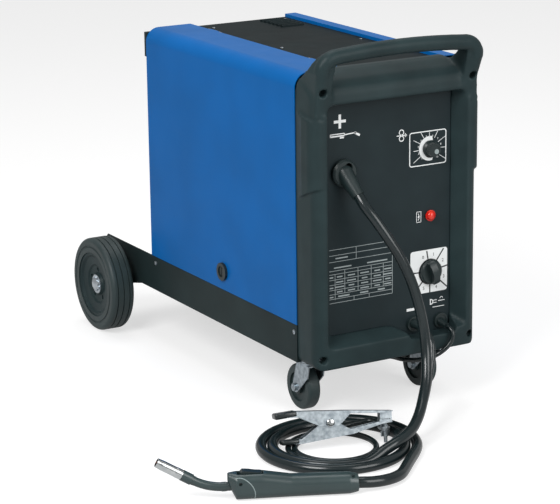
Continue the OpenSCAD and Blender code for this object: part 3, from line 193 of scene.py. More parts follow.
# %% The earth cable's run
earth_fall = [(48, -391, 145), (48, -403, 144), (48, -416, 138), (47, -427, 126), (43, -435, 110),
              (35, -443, 91), (23, -455, 70), (4, -474, 50), (-22, -499, 35.5), (-52, -521, 27.5),
              (-82, -538, 25), (-108, -551, 21), (-131, -560.5, 13.5), (-152, -566, 8), (-172, -568, 5.6)]
earth_d = 10
earth_coil_at, earth_coil_r, earth_step, earth_turns = (-186, -490), 78, -10.6, 1.5
earth_tail = [(-170, -430.5, 8), (-154, -435, 12.5), (-140, -438.5, 16), (-127, -440.5, 18),
              (-114, -441.5, 18), (-102, -443, 18.7), (-91.5, -447.5, 20), (-86, -456, 20.7),
              (-85, -467.5, 19.8)]
clamp_at = Vector((-183, -469, 41.5))
clamp_turn = (Matrix.Rotation(math.radians(-17), 3, "Z") @ Matrix.Rotation(math.radians(1.5), 3, "Y")
              @ Matrix.Rotation(math.radians(-15), 3, "X"))
lug_end = clamp_at + clamp_turn @ Vector((95, 24, -14))
earth_points = (earth_fall + spiral(earth_coil_at, earth_coil_r, earth_step, -90, earth_turns, earth_d / 2)
                + earth_tail + [tuple(lug_end)])
earth_run = smooth_run(earth_points)
earth_lead = lead("earth_lead", earth_run, earth_d * MM)
print("earth cable:", round(run_length(earth_run), 3), "m")

# %% The mains cord's run
mains_fall = [(103, -389, 138.5), (103.5, -397, 137), (104.5, -404, 130), (102, -406, 118.5),
              (95, -405.5, 108.5), (86, -403, 100.5), (76, -397.5, 93), (66, -384, 85), (55, -363, 78),
              (45, -341, 75), (42, -317, 73), (44, -292, 68), (55, -262, 61), (71, -244, 54.5),
              (92, -231, 46.5), (115, -226, 38), (137, -220, 29), (158, -214, 20), (177, -205, 12),
              (193, -196, 6.5), (203, -176, 4.4), (206, -153, 4.2), (204, -128, 4.2), (198, -100, 4.2),
              (190, -72, 4.2), (181, -44, 4.2), (173, -16, 4.2), (168, 14, 4.2), (167, 50, 4.2)]
mains_d, mains_lie = 8, 4.2
mains_coil_at, mains_coil_r, mains_step, mains_reverse, mains_turns = (110, 58), 57, 8.8, 2.75, 5


def mains_radius(t):
    """Radius after t turns: the coil winds inwards, then outwards again on top of itself."""
    return mains_coil_r - mains_step * (t if t < mains_reverse else 2 * mains_reverse - t)


mains_coil = []
for i in range(POINTS_A_TURN * mains_turns + 1):
    t = i / POINTS_A_TURN
    q = Vector((*mains_coil_at, 0)) + mains_radius(t) * along(360 * t)
    mains_coil.append((q.x, q.y, mains_lie + mains_step * min(1, max(0, 2 * (t - mains_reverse) + 0.5))))
plug_reach, plug_z = 58, 18.5
plug_x, plug_y = mains_coil_at[0] + mains_radius(mains_turns), mains_coil_at[1] + plug_reach
mains_points = mains_fall + mains_coil + [(plug_x, plug_y - 42, 14), (plug_x, plug_y - 25, 16.8),
                                          (plug_x, plug_y - 8, plug_z), (plug_x, plug_y, plug_z)]
mains_run = smooth_run(mains_points)
mains_lead = lead("mains_lead", mains_run, mains_d * MM)
print("mains cord:", round(run_length(mains_run), 3), "m")


# %% [markdown]
# ## Colours and shader nodes
# Paint charts and screens give colours as sRGB hex values, but the renderer works in linear light.
# One function turns the first into the second. A second one adds a node, sets its values and joins
# its inputs, so that each finish below reads as a short list.


# %% Colour and node helpers
def linear(hex_colour):
    """Linear RGBA from an sRGB hex colour."""
    parts = [int(hex_colour[i:i + 2], 16) / 255 for i in (1, 3, 5)]
    return tuple(c / 12.92 if c <= 0.04045 else ((c + 0.055) / 1.055) ** 2.4 for c in parts) + (1,)


def add(tree, kind, values=None, links=None, **settings):
    """Adds a node; values sets its inputs, links joins them to other nodes' outputs."""
    n = tree.nodes.new(kind)
    for key, value in settings.items():
        setattr(n, key, value)
    for key, value in (values or {}).items():
        n.inputs[key].default_value = value
    for key, source in (links or {}).items():
        tree.links.new(source, n.inputs[key])
    return n


def new_finish(name, **shader):
    """Material with a Principled shader whose values are given; returns it, its tree and its shader."""
    finish = bpy.data.materials.new(name)
    finish.use_nodes = True
    tree = finish.node_tree
    bsdf = tree.nodes["Principled BSDF"]
    for key, value in shader.items():
        bsdf.inputs[key.replace("_", " ").title().replace("Ior", "IOR")].default_value = value
    return finish, tree, bsdf


def two_tone(tree, bsdf, dark, light, pattern, low=0.3, high=0.7):
    """Colour that runs from dark to light with a pattern's value."""
    ramp = add(tree, "ShaderNodeValToRGB", links={"Fac": pattern})
    ramp.color_ramp.elements[0].position, ramp.color_ramp.elements[0].color = low, linear(dark)
    ramp.color_ramp.elements[1].position, ramp.color_ramp.elements[1].color = high, linear(light)
    tree.links.new(ramp.outputs["Color"], bsdf.inputs["Base Color"])


def rough_range(tree, bsdf, low, high, pattern):
    """Roughness that runs from low to high with a pattern's value."""
    spread = add(tree, "ShaderNodeMapRange", {"To Min": low, "To Max": high}, {"Value": pattern})
    tree.links.new(spread.outputs["Result"], bsdf.inputs["Roughness"])


def relief(tree, bsdf, height, distance, strength=1.0):
    """Bump from a pattern, with its depth in metres."""
    bump = add(tree, "ShaderNodeBump", {"Distance": distance, "Strength": strength}, {"Height": height})
    tree.links.new(bump.outputs["Normal"], bsdf.inputs["Normal"])


def noise(tree, size_mm, detail=2.0, roughness=0.5):
    """Noise whose blobs are about size_mm across, in object space."""
    where = add(tree, "ShaderNodeTexCoord").outputs["Object"]
    return add(tree, "ShaderNodeTexNoise",
               {"Scale": 1 / (size_mm * MM), "Detail": detail, "Roughness": roughness},
               {"Vector": where}).outputs["Fac"]


# %% [markdown]
# ## The finishes
# Case panels are powder coated: the melted powder leaves a fine orange peel and a soft gloss. It could
# be one flat colour, but a large flat side then looks like paper, so the colour drifts by a shade, the
# gloss drifts with it, and a fine bump gives the peel. Sizes of patterns are in millimetres.


# %% Powder coats
def powder_coat(name, dark, light, gloss):
    """Powder coat on steel: cloudy by a shade, with an orange peel."""
    cloud_mm, patch_mm, peel_mm, peel_depth = 90, 30, 2.5, 0.12 * MM
    finish, tree, bsdf = new_finish(name, roughness=gloss, ior=1.5, specular_ior_level=0.1)
    two_tone(tree, bsdf, dark, light, noise(tree, cloud_mm, 1))
    rough_range(tree, bsdf, gloss - 0.04, gloss + 0.06, noise(tree, patch_mm, 3))
    relief(tree, bsdf, noise(tree, peel_mm, 1), peel_depth, 0.6)
    return finish


blue_powder_coat = powder_coat("blue_powder_coat", "#005DA3", "#0062AC", 0.36)
black_powder_coat = powder_coat("black_powder_coat", "#1E292A", "#243132", 0.42)
# The top cover's coat is the black coat made rougher and darker. The darker colour is painted shade, so that
# the top, lit by the top lamp, stays as dark as the front.
top_shade_powder_coat = powder_coat("top_shade_powder_coat", "#10191B", "#141F21", 0.55)
motor_enamel = powder_coat("motor_enamel", "#3B4144", "#444B4E", 0.4)

# %% [markdown]
# Mouldings differ in grain and in gloss. The front is structural foam, whose skin is a dull, coarse
# leather grain. Nylon knobs are satin, the cable sheath is smooth and shiny, tyres are matt and rough,
# and the dips on the clamp are glossy vinyl. One function makes them all, and the sheen says how much
# of the light a skin throws back. The grain is drawn two or three times as coarse as the real one, so
# that it shows at all.


# %% Mouldings and rubbers
def moulded(name, dark, light, gloss, grain_mm=1.6, grain_depth=0.12, sheen=0.15):
    """Moulded plastic or rubber with a fine spark-eroded grain; grain sizes in millimetres."""
    cloud_mm, patch_mm = 60, 14
    finish, tree, bsdf = new_finish(name, roughness=gloss, ior=1.5, specular_ior_level=sheen)
    two_tone(tree, bsdf, dark, light, noise(tree, cloud_mm, 2))
    rough_range(tree, bsdf, gloss - 0.05, gloss + 0.07, noise(tree, patch_mm, 3))
    relief(tree, bsdf, noise(tree, grain_mm, 2), grain_depth * MM, 0.6)
    return finish


structural_foam = moulded("structural_foam", "#222F31", "#283739", 0.42, 2.2, 0.2)
satin_nylon = moulded("satin_nylon", "#1A2526", "#202C2D", 0.34, sheen=0.4)
cable_sheath = moulded("cable_sheath", "#121C1E", "#172325", 0.2, 4, 0.1, sheen=0.5)
solid_rubber = moulded("solid_rubber", "#293536", "#303E3F", 0.46, 2.0, 0.3, sheen=0.4)
grip_rubber = moulded("grip_rubber", "#243435", "#2C3E3F", 0.32, sheen=0.7)
panel_lacquer = moulded("panel_lacquer", "#1E282B", "#222D30", 0.34, 3, 0.04)
# Pale grey moulding: the bead on the torch's rim takes it as a painted highlight, the light that the rim
# catches.
painted_rim_highlight = moulded("painted_rim_highlight", "#7C8A8B", "#97A5A5", 0.3, sheen=0.5)
dipped_vinyl = moulded("dipped_vinyl", "#151C1D", "#1B2425", 0.22, sheen=0.6)
knob_cap = moulded("knob_cap", "#8E999A", "#A3AEAE", 0.4)

# %% [markdown]
# A metal has no colour of its own under its reflection: the colour is the reflection. Galvanised steel
# shows cloudy spangles, zinc on bolts is brighter and more even, and the nickel of the gas nozzle is
# nearly a mirror. Each has its own size of cloud.


# %% Metals
def metal(name, dark, light, gloss, cloud_mm, spread=0.08):
    """Bare or plated metal: the colour is the reflection, clouded over cloud_mm."""
    wear_mm, wear_depth = 1.2, 0.04 * MM
    finish, tree, bsdf = new_finish(name, roughness=gloss, metallic=1.0)
    two_tone(tree, bsdf, dark, light, noise(tree, cloud_mm, 2))
    rough_range(tree, bsdf, gloss - spread, gloss + spread, noise(tree, cloud_mm / 2, 3))
    relief(tree, bsdf, noise(tree, wear_mm, 2), wear_depth, 0.4)
    return finish


bright_zinc = metal("bright_zinc", "#AEB6BD", "#C6CDD2", 0.30, 14)
galvanised_steel = metal("galvanised_steel", "#8E989F", "#BFC8CD", 0.36, 7)
nickel_plate = metal("nickel_plate", "#B9BDBE", "#D2D5D5", 0.18, 12, 0.04)
cast_aluminium = metal("cast_aluminium", "#8F9498", "#A8ADB0", 0.45, 20)
drawn_copper = metal("drawn_copper", "#A85A34", "#C07448", 0.28, 9)
turned_brass = metal("turned_brass", "#A98342", "#C09C58", 0.28, 9)
laminated_iron = metal("laminated_iron", "#4A5053", "#62686B", 0.5, 8)

# %% [markdown]
# The lamp's lens and the tension knob are red acrylic: smooth, glossy and a shade deeper in places.

# %% Red acrylic
red_acrylic, tree, bsdf = new_finish("red_acrylic", roughness=0.12, ior=1.49)
two_tone(tree, bsdf, "#C81E14", "#E23A28", noise(tree, 8, 1))

# %% Dress the parts that keep their solids
DRESS = {
    blue_powder_coat: "side_door right_side_panel",
    black_powder_coat: "base_tray rear_panel centre_partition bottle_bracket",
    # the top cover takes the darker coat with painted shade
    top_shade_powder_coat: "top_cover",
    structural_foam: "front_bezel left_wheel_rim right_wheel_rim",
    panel_lacquer: "control_panel",
    grip_rubber: "torch_handle torch_neck",
    satin_nylon: "torch_gland cable_glands torch_trigger mains_plug wire_speed_knob "
                 "power_switch_knob door_latch panel_electrics wire_spool fan_blades pressure_arm",
    cable_sheath: "torch_cable torch_coil earth_cable earth_coil mains_cord mains_coil",
    solid_rubber: "left_tyre right_tyre left_caster_wheel right_caster_wheel",
    bright_zinc: "door_hinges rear_axle axle_caps case_screws clamp_spring drive_roll pressure_roll",
    galvanised_steel: "caster_plates left_caster_fork right_caster_fork clamp_lower_jaw clamp_upper_jaw",
    motor_enamel: "fan_motor feed_motor",
    laminated_iron: "transformer_core",
    cast_aluminium: "rectifier_stack feed_plate spool_spindle",
    drawn_copper: "transformer_windings contact_tip spool_wire",
    turned_brass: "gas_fitting",
    nickel_plate: "gas_nozzle",
    red_acrylic: "thermal_lamp tension_knob",
}
for finish, names in DRESS.items():
    for name in names.split():
        NODES[name].data.materials.clear()
        NODES[name].data.materials.append(finish)
dressed = sum(len(names.split()) for names in DRESS.values())
print("parts dressed:", dressed, "of", len(NODES))

# %% [markdown]
# ## Working on copies
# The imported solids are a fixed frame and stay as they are. Where a part deserves softer edges, its
# mesh is copied, its loose triangles are merged, and the copy is worked on and stands in for the
# solid. Every finished piece has its object at the origin, with its place in its mesh.


# %% Modelling helpers
def only(piece):
    """Selects one object alone and makes it active."""
    bpy.ops.object.select_all(action="DESELECT")
    piece.select_set(True)
    bpy.context.view_layer.objects.active = piece


def settle(piece):
    """Puts the object's place, turn and size into its mesh."""
    only(piece)
    bpy.ops.object.transform_apply(location=True, rotation=True, scale=True)


def use(piece, kind, **settings):
    """Adds a modifier with its settings and applies it."""
    only(piece)
    modifier = piece.modifiers.new(kind, kind)
    for key, value in settings.items():
        setattr(modifier, key, value)
    bpy.ops.object.modifier_apply(modifier=modifier.name)


def on_body(piece, body, finish):
    """Gives a piece its finish and the body that it rides on."""
    piece.data.materials.clear()
    piece.data.materials.append(finish)
    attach(piece, body)


def working_copy(node, name):
    """Merged copy of a solid's mesh, as a new object."""
    piece = bpy.data.objects.new(name, NODES[node].data.copy())
    bpy.context.scene.collection.objects.link(piece)
    only(piece)
    bpy.ops.mesh.customdata_custom_splitnormals_clear()
    bpy.ops.object.mode_set(mode="EDIT")
    bpy.ops.mesh.select_all(action="SELECT")
    bpy.ops.mesh.remove_doubles(threshold=0.02 * MM)
    bpy.ops.object.mode_set(mode="OBJECT")
    return piece


def stand_in(piece, node, finish):
    """Puts a worked copy in its solid's place, on the solid's body."""
    on_body(piece, NODES[node]["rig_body"], finish)
    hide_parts(node)


def eased(node, name, finish, width, angle=32, segments=2):
    """Copy of a solid whose sharp edges are rounded by width, in millimetres."""
    piece = working_copy(node, name)
    bpy.ops.object.mode_set(mode="EDIT")
    bpy.ops.mesh.dissolve_limited(angle_limit=math.radians(0.6))
    bpy.ops.object.mode_set(mode="OBJECT")
    use(piece, "BEVEL", width=width * MM, segments=segments, limit_method="ANGLE",
        angle_limit=math.radians(angle), miter_outer="MITER_ARC", harden_normals=False)
    only(piece)
    bpy.ops.object.shade_smooth_by_angle(angle=math.radians(38))
    use(piece, "WEIGHTED_NORMAL", keep_sharp=True, weight=100)
    stand_in(piece, node, finish)
    return piece


# %% [markdown]
# ## The moulded front
# The front is one large structural-foam moulding: two columns, a sill, a forehead and the handle.
# Nothing on it is sharp, because foam can't fill a sharp corner. A voxel remesh melts the joints
# between its forms, and a smooth modifier then rounds them, as the mould's fillets do. The rear rim is
# drawn back first, so that it stays tucked in behind the edges of the blue panels. The forehead and the
# shoulders of the handle flow more than the rest, so a vertex group smooths them again.

# %% Model the moulded front
moulded_front = working_copy("front_bezel", "moulded_front")
rear_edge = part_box("front_bezel")[1].y
rim_reach, rim_inset = 5 * MM, 1.2 * MM
for v in moulded_front.data.vertices:
    if v.co.y > rear_edge - 0.1 * MM:
        v.co.y += rim_reach
        v.co.x -= math.copysign(rim_inset, v.co.x)
use(moulded_front, "REMESH", mode="VOXEL", voxel_size=2.0 * MM, adaptivity=0)
use(moulded_front, "SMOOTH", factor=0.5, iterations=6)
forehead_half, forehead_low, shoulder_from, shoulder_low, soft_top, rim_kept = 125, 545, 110, 534, 600, 12
soft = moulded_front.vertex_groups.new(name="soft")
for v in moulded_front.data.vertices:
    across, height = abs(v.co.x) / MM, v.co.z / MM
    forehead = across < forehead_half and forehead_low < height < soft_top
    shoulder = shoulder_from < across and shoulder_low < height < soft_top
    if (forehead or shoulder) and v.co.y < rear_edge - rim_kept * MM:
        soft.add([v.index], 1.0, "REPLACE")
use(moulded_front, "SMOOTH", factor=0.5, iterations=30, vertex_group="soft")
use(moulded_front, "DECIMATE", ratio=0.45)
only(moulded_front)
bpy.ops.object.shade_smooth()
stand_in(moulded_front, "front_bezel", structural_foam)
print("moulded front:", len(moulded_front.data.polygons), "faces")

# %% [markdown]
# ## The torch
# The torch handle is moulded in two halves that are screwed together. The same remesh and smooth
# turn its flat slices into one soft grip. The screws sit in round recesses, which are cut afterwards,
# because the smoothing would close them. A ray cast at the grip finds where its skin is.

# %% Model the torch handle
torch_grip = working_copy("torch_handle", "torch_grip")
use(torch_grip, "REMESH", mode="VOXEL", voxel_size=1.1 * MM, adaptivity=0)
use(torch_grip, "SMOOTH", factor=0.5, iterations=6)
use(torch_grip, "DECIMATE", ratio=0.5)
only(torch_grip)
bpy.ops.object.shade_smooth()


def on_torch(x, y, z):
    """World place of a point given in millimetres from the handle's cable end, on the floor."""
    return (handle_at + x * along(torch_aim) + y * along(torch_aim + 90) + Vector((0, 0, z))) * MM


def on_skin(x, z, proud=0.0):
    """Point on the grip's near side at x along it and z above the floor."""
    sideways = along(torch_aim + 90)
    where = torch_grip.ray_cast(on_torch(x, 40, z), -sideways)[1]
    return where + sideways * proud * MM


recess_r, recess_cut = 2.7, 9
for x, z in ((184, 29), (9, 30)):
    bpy.ops.mesh.primitive_cylinder_add(vertices=24, radius=recess_r * MM, depth=recess_cut * MM,
                                        location=on_skin(x, z),
                                        rotation=(math.pi / 2, 0, math.radians(torch_aim)))
    hole = bpy.context.active_object
    use(torch_grip, "BOOLEAN", operation="DIFFERENCE", object=hole, solver="EXACT")
    bpy.data.objects.remove(hole)
only(torch_grip)
bpy.ops.object.shade_smooth_by_angle(angle=math.radians(50))
stand_in(torch_grip, "torch_handle", grip_rubber)
print("torch grip:", len(torch_grip.data.polygons), "faces")

# %% [markdown]
# The nose of the handle is a separate moulding. Its rim is a thin bead that runs over the grip, coloured pale
# grey as a painted highlight where the rim catches the light. An inset edge would follow the mesh and not the
# rim, so the bead is a round curve through points that are found on the grip's skin.

# %% The torch's bead, pale as a painted highlight
bead_d, bead_proud = 1.5, 0.2
bead_path = ((192, 37), (186, 38), (179, 36.5), (172, 32), (166.5, 26), (163, 19), (161.5, 12),
             (162, 6), (163.5, 3))
bead_points = [on_skin(x, z, bead_proud) / MM for x, z in bead_path]
torch_rim_highlight = lead("torch_rim_highlight", smooth_run(bead_points), bead_d * MM)
on_body(torch_rim_highlight, "chassis", painted_rim_highlight)

# %% [markdown]
# ## Sheet metal and small castings
# Sheet-metal edges and castings have a small radius that catches the light. A bevel of half a
# millimetre to one millimetre draws that bright line.

# %% Ease the edges of the rigid parts
eased("side_door", "door_sheet", blue_powder_coat, 0.5)
eased("right_side_panel", "right_sheet", blue_powder_coat, 0.5)
eased("base_tray", "tray_sheet", black_powder_coat, 0.6)
eased("bottle_bracket", "bracket_moulding", black_powder_coat, 1.0)
eased("power_switch_knob", "switch_grip", satin_nylon, 0.8, segments=3)
upper_jaw = eased("clamp_upper_jaw", "upper_jaw_sheet", galvanised_steel, 0.5)
lower_jaw = eased("clamp_lower_jaw", "lower_jaw_sheet", galvanised_steel, 0.4)
for side in ("left", "right"):
    eased(side + "_caster_fork", side + "_fork_pressing", galvanised_steel, 0.6)

# %% [markdown]
# ## Small fittings
# The clamp's levers are dipped in vinyl where a hand squeezes them, and the pivot's riveted head is
# polished. A dip is a skin over the lever's end, so a bevelled block round it is enough.


# %% Dips and rivet of the clamp
def clamp_block(name, low_corner, high_corner, tilt, node):
    """Rounded sleeve over a lever's end, between two corners in the clamp's own millimetres."""
    low_corner, high_corner = Vector(low_corner), Vector(high_corner)
    bpy.ops.mesh.primitive_cube_add(size=1)
    piece = bpy.context.active_object
    piece.name = name
    piece.scale = (high_corner - low_corner) * MM
    piece.rotation_euler = (clamp_turn @ Matrix.Rotation(math.radians(tilt), 3, "Y")).to_euler()
    piece.location = (clamp_at + clamp_turn @ ((low_corner + high_corner) / 2)) * MM
    settle(piece)
    use(piece, "BEVEL", width=3 * MM, segments=4, limit_method="ANGLE", angle_limit=math.radians(30))
    only(piece)
    bpy.ops.object.shade_smooth_by_angle(angle=math.radians(60))
    on_body(piece, NODES[node]["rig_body"], dipped_vinyl)
    return piece


upper_dip = clamp_block("upper_lever_dip", (-92, -13.6, 11), (-55, 13.6, 20.6), -6, "clamp_upper_jaw")
lower_dip = clamp_block("lower_lever_dip", (-82, -11.2, -32.4), (-52, 11.2, -24.4), -3, "clamp_lower_jaw")
rivet_r, rivet_flat, rivet_out = 6.6, 0.3, 15.4
bpy.ops.mesh.primitive_uv_sphere_add(segments=24, ring_count=12, radius=rivet_r * MM,
                                     location=(clamp_at + clamp_turn @ Vector((0, -rivet_out, 0))) * MM,
                                     rotation=clamp_turn.to_euler())
rivet_head = bpy.context.active_object
rivet_head.name = "clamp_rivet_head"
rivet_head.scale = (1, rivet_flat, 1)
settle(rivet_head)
bpy.ops.object.shade_smooth()
on_body(rivet_head, NODES["clamp_lower_jaw"]["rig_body"], nickel_plate)

# %% [markdown]
# The speed knob has a pale cap set in its face, off centre, which shows how far it is turned. It rides
# on the knob.

# %% Cap of the speed knob
cap_r, cap_thick, cap_off = 4.2, 1.6, 3
knob_low, knob_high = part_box("wire_speed_knob")
knob_mid = (knob_low + knob_high) / 2
bpy.ops.mesh.primitive_cylinder_add(vertices=32, radius=cap_r * MM, depth=cap_thick * MM,
                                    rotation=(math.pi / 2, 0, 0),
                                    location=(knob_mid.x + cap_off * MM, knob_low.y + 0.9 * MM,
                                              knob_mid.z - cap_off * MM))
speed_cap = bpy.context.active_object
speed_cap.name = "wire_speed_knob_cap"
settle(speed_cap)
on_body(speed_cap, NODES["wire_speed_knob"]["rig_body"], knob_cap)

# %% [markdown]
# The wound part of the mains cord is held by a strap. It is a box with two open ends, rounded at its
# corners and given a wall, that goes round every strand on one side of the coil.

# %% Strap of the mains coil
strand_low, strand_high = mains_radius(mains_reverse) - mains_d / 2, mains_coil_r + mains_d / 2
strap_w, strap_t, strap_h, strap_mid, strap_angle = 14, 1.2, 18.6, 9.4, 200
bpy.ops.mesh.primitive_cube_add(size=1)
mains_strap = bpy.context.active_object
mains_strap.name = "mains_strap"
mains_strap.scale = Vector((strand_high - strand_low + 2 * strap_t, strap_w, strap_h)) * MM
mains_strap.rotation_euler.z = math.radians(strap_angle)
strap_at = Vector((*mains_coil_at, strap_mid)) + (strand_low + strand_high) / 2 * along(strap_angle)
mains_strap.location = strap_at * MM
bpy.ops.object.mode_set(mode="EDIT")
bpy.ops.mesh.select_mode(type="FACE")
bpy.ops.mesh.select_all(action="DESELECT")
bpy.ops.object.mode_set(mode="OBJECT")
for face in mains_strap.data.polygons:
    face.select = abs(face.normal.y) > 0.5
bpy.ops.object.mode_set(mode="EDIT")
bpy.ops.mesh.delete(type="FACE")
bpy.ops.object.mode_set(mode="OBJECT")
settle(mains_strap)
use(mains_strap, "BEVEL", width=6 * MM, segments=5, limit_method="ANGLE", angle_limit=math.radians(30))
use(mains_strap, "SOLIDIFY", thickness=strap_t * MM, offset=-1)
on_body(mains_strap, "chassis", solid_rubber)

# %% [markdown]
# ## Prints on the control panel
# The panel carries white screen prints: the polarity signs, a torch, a pair of feed rolls, two dial
# scales and a table of ruled lines. Screen ink stands a little proud, so each print is a flat shape
# that is given a thickness of a fifth of a millimetre. Ruled bars are planes, and round marks are
# circles that are extruded into rings. The dial numbers are the only characters.


# %% Inks
def screen_ink(name, colour):
    """Screen ink: one flat colour with a half-dull skin."""
    return new_finish(name, base_color=linear(colour), roughness=0.5, ior=1.5)[0]


white_ink = screen_ink("white_screen_ink", "#E9ECEC")
black_ink = screen_ink("black_screen_ink", "#161A1B")
grey_ink = screen_ink("pale_screen_ink", "#9FA8A9")
panel_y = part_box("control_panel")[0].y / MM
print("panel face at y", round(panel_y, 1), "mm")


# %% Print shapes, in millimetres on the panel
def bar(x, z, length, height, turn=0):
    """Ruled bar centred on x, z and turned by degrees."""
    bpy.ops.mesh.primitive_plane_add(size=1, location=(x * MM, panel_y * MM, z * MM),
                                     rotation=(math.pi / 2, -math.radians(turn), 0))
    piece = bpy.context.active_object
    piece.scale = (length * MM, height * MM, 1)
    return piece


def ring(x, z, inner, outer, start=0, end=360, drift=(0, 0)):
    """Ring from start to end degrees; its inner circle can be moved to make a crescent."""
    bpy.ops.mesh.primitive_circle_add(vertices=48, radius=outer * MM, location=(x * MM, panel_y * MM, z * MM),
                                      rotation=(math.pi / 2, 0, 0))
    piece = bpy.context.active_object
    bpy.ops.object.mode_set(mode="EDIT")
    bpy.ops.mesh.select_mode(type="EDGE")
    bpy.ops.mesh.select_all(action="SELECT")
    bpy.ops.mesh.extrude_edges_move()
    bpy.ops.transform.resize(value=(inner / outer,) * 3)
    bpy.ops.transform.translate(value=(drift[0] * MM, 0, drift[1] * MM))
    bpy.ops.mesh.select_mode(type="FACE")
    bpy.ops.mesh.select_all(action="DESELECT")
    bpy.ops.object.mode_set(mode="OBJECT")
    for f in piece.data.polygons:
        f.select = not start <= math.degrees(math.atan2(f.center.y, f.center.x)) % 360 <= end
    if end - start < 360:
        bpy.ops.object.mode_set(mode="EDIT")
        bpy.ops.mesh.delete(type="FACE")
        bpy.ops.object.mode_set(mode="OBJECT")
    return piece


def disc(x, z, radius, vertices=32):
    """Round dot centred on x, z."""
    bpy.ops.mesh.primitive_circle_add(vertices=vertices, radius=radius * MM, fill_type="NGON",
                                      location=(x * MM, panel_y * MM, z * MM), rotation=(math.pi / 2, 0, 0))
    return bpy.context.active_object


def frame_lines(x0, z0, x1, z1, width):
    """Four bars round a rectangle."""
    xm, zm = (x0 + x1) / 2, (z0 + z1) / 2
    return [bar(xm, z0, x1 - x0 + width, width), bar(xm, z1, x1 - x0 + width, width),
            bar(x0, zm, width, z1 - z0), bar(x1, zm, width, z1 - z0)]


def figure(text, x, z, height):
    """A dial number of a height, centred on x, z; Blender's text size is its line height."""
    line_height = height * 1.35
    bpy.ops.object.text_add(location=(x * MM, panel_y * MM, z * MM), rotation=(math.pi / 2, 0, 0))
    piece = bpy.context.active_object
    piece.data.body = text
    piece.data.size = line_height * MM
    piece.data.align_x, piece.data.align_y = "CENTER", "CENTER"
    piece.data.resolution_u = 3
    bpy.ops.object.convert(target="MESH")
    return bpy.context.active_object


def screen_print(name, finish, shapes, lift=0.0):
    """Joins flat shapes into one print that stands off the panel by its own thickness."""
    ink_gap, ink_thick = 0.02, 0.2
    bpy.ops.object.select_all(action="DESELECT")
    for shape in shapes:
        shape.select_set(True)
    bpy.context.view_layer.objects.active = shapes[0]
    if len(shapes) > 1:
        bpy.ops.object.join()
    piece = bpy.context.active_object
    piece.name = name
    settle(piece)
    bpy.ops.object.mode_set(mode="EDIT")
    bpy.ops.mesh.select_mode(type="FACE")
    bpy.ops.mesh.select_all(action="SELECT")
    bpy.ops.mesh.remove_doubles(threshold=0.001 * MM)
    bpy.ops.transform.translate(value=(0, -(ink_gap + lift) * MM, 0))
    bpy.ops.mesh.extrude_region_move(TRANSFORM_OT_translate={"value": (0, -ink_thick * MM, 0)})
    bpy.ops.mesh.select_all(action="SELECT")
    bpy.ops.mesh.normals_make_consistent(inside=False)
    bpy.ops.object.mode_set(mode="OBJECT")
    on_body(piece, "chassis", finish)
    return piece


# %% Signs, feed rolls, lamp and mains marks
plus_sign = [bar(-103.2, 514, 9.1, 4.8), bar(-89.3, 514, 9.1, 4.8), bar(-96.3, 514, 4.8, 23.4)]
minus_sign = [bar(43.4, 171, 16.5, 4.6)]
torch_sign = [bar(-101, 493.4, 27, 1.6), bar(-101, 489.8, 27, 2.4), bar(-87.5, 491.4, 1.6, 5.2),
              bar(-114.5, 491.4, 1.6, 5.2), bar(-92.5, 486.6, 8, 2.6), bar(-77, 491.6, 20, 1.8, 4),
              bar(-62.5, 489.4, 10.5, 3.6, -28), disc(-67, 491.9, 2)]
feed_sign = [ring(24, 481.4, 3.6, 5.1), ring(24, 471, 3.6, 5.1), bar(24, 476.2, 19, 1.3),
             bar(32.6, 477.6, 4.4, 1.2, -40), bar(32.6, 474.8, 4.4, 1.2, 40)]
lamp_sign = frame_lines(54.6, 322.6, 63.4, 340.6, 0.9) + [
    bar(59, 335.2, 1.1, 6, 25), bar(59, 328.4, 1.1, 6, -25), disc(59, 331.8, 1.9)]
mains_sign = [bar(83.6, 178.4, 1.8, 10), ring(84.5, 178.4, 3.4, 5, 270, 360),
              ring(84.5, 178.4, 3.4, 5, 0, 90), bar(93, 180.6, 7, 1.2), bar(93, 176.2, 7, 1.2),
              bar(106, 178.4, 13, 1.2), ring(106, 182.2, 2.2, 3.2, 0, 180), bar(100, 168.5, 24, 1.1)]
screen_print("panel_signs", white_ink,
             plus_sign + minus_sign + torch_sign + feed_sign + lamp_sign + mains_sign)

# %% [markdown]
# The wire speed scale is a rounded frame with ten numbers round the knob and a line between each two.
# A line stops at the frame, so its reach is the shorter way to an upright or to a level side. The white
# crescent beside the knob is a ring whose inner circle is moved off centre.

# %% The wire speed scale
speed_x, speed_z = 80, 448
figure_x, figure_z, figure_h = 23.2, 21.5, 3.6
left_edge, right_edge, low_edge, high_edge, corner, frame_w = 40.4, 113, 420.2, 477.6, 4, 1.7
scale_marks = [bar((left_edge + right_edge) / 2, z, right_edge - left_edge - 2 * corner, frame_w)
               for z in (low_edge, high_edge)]
scale_marks += [bar(x, (low_edge + high_edge) / 2, frame_w, high_edge - low_edge - 2 * corner)
                for x in (left_edge, right_edge)]
for cx, cz, start in ((left_edge + corner, high_edge - corner, 90),
                      (right_edge - corner, high_edge - corner, 0),
                      (left_edge + corner, low_edge + corner, 180),
                      (right_edge - corner, low_edge + corner, 270)):
    scale_marks.append(ring(cx, cz, corner - frame_w / 2, corner + frame_w / 2, start, start + 90))
numbers, first_angle, angle_step, line_from, line_w = 10, 230, 31, 19.5, 0.9
reach_x, reach_z, nearly_level = 32, 28, 0.01
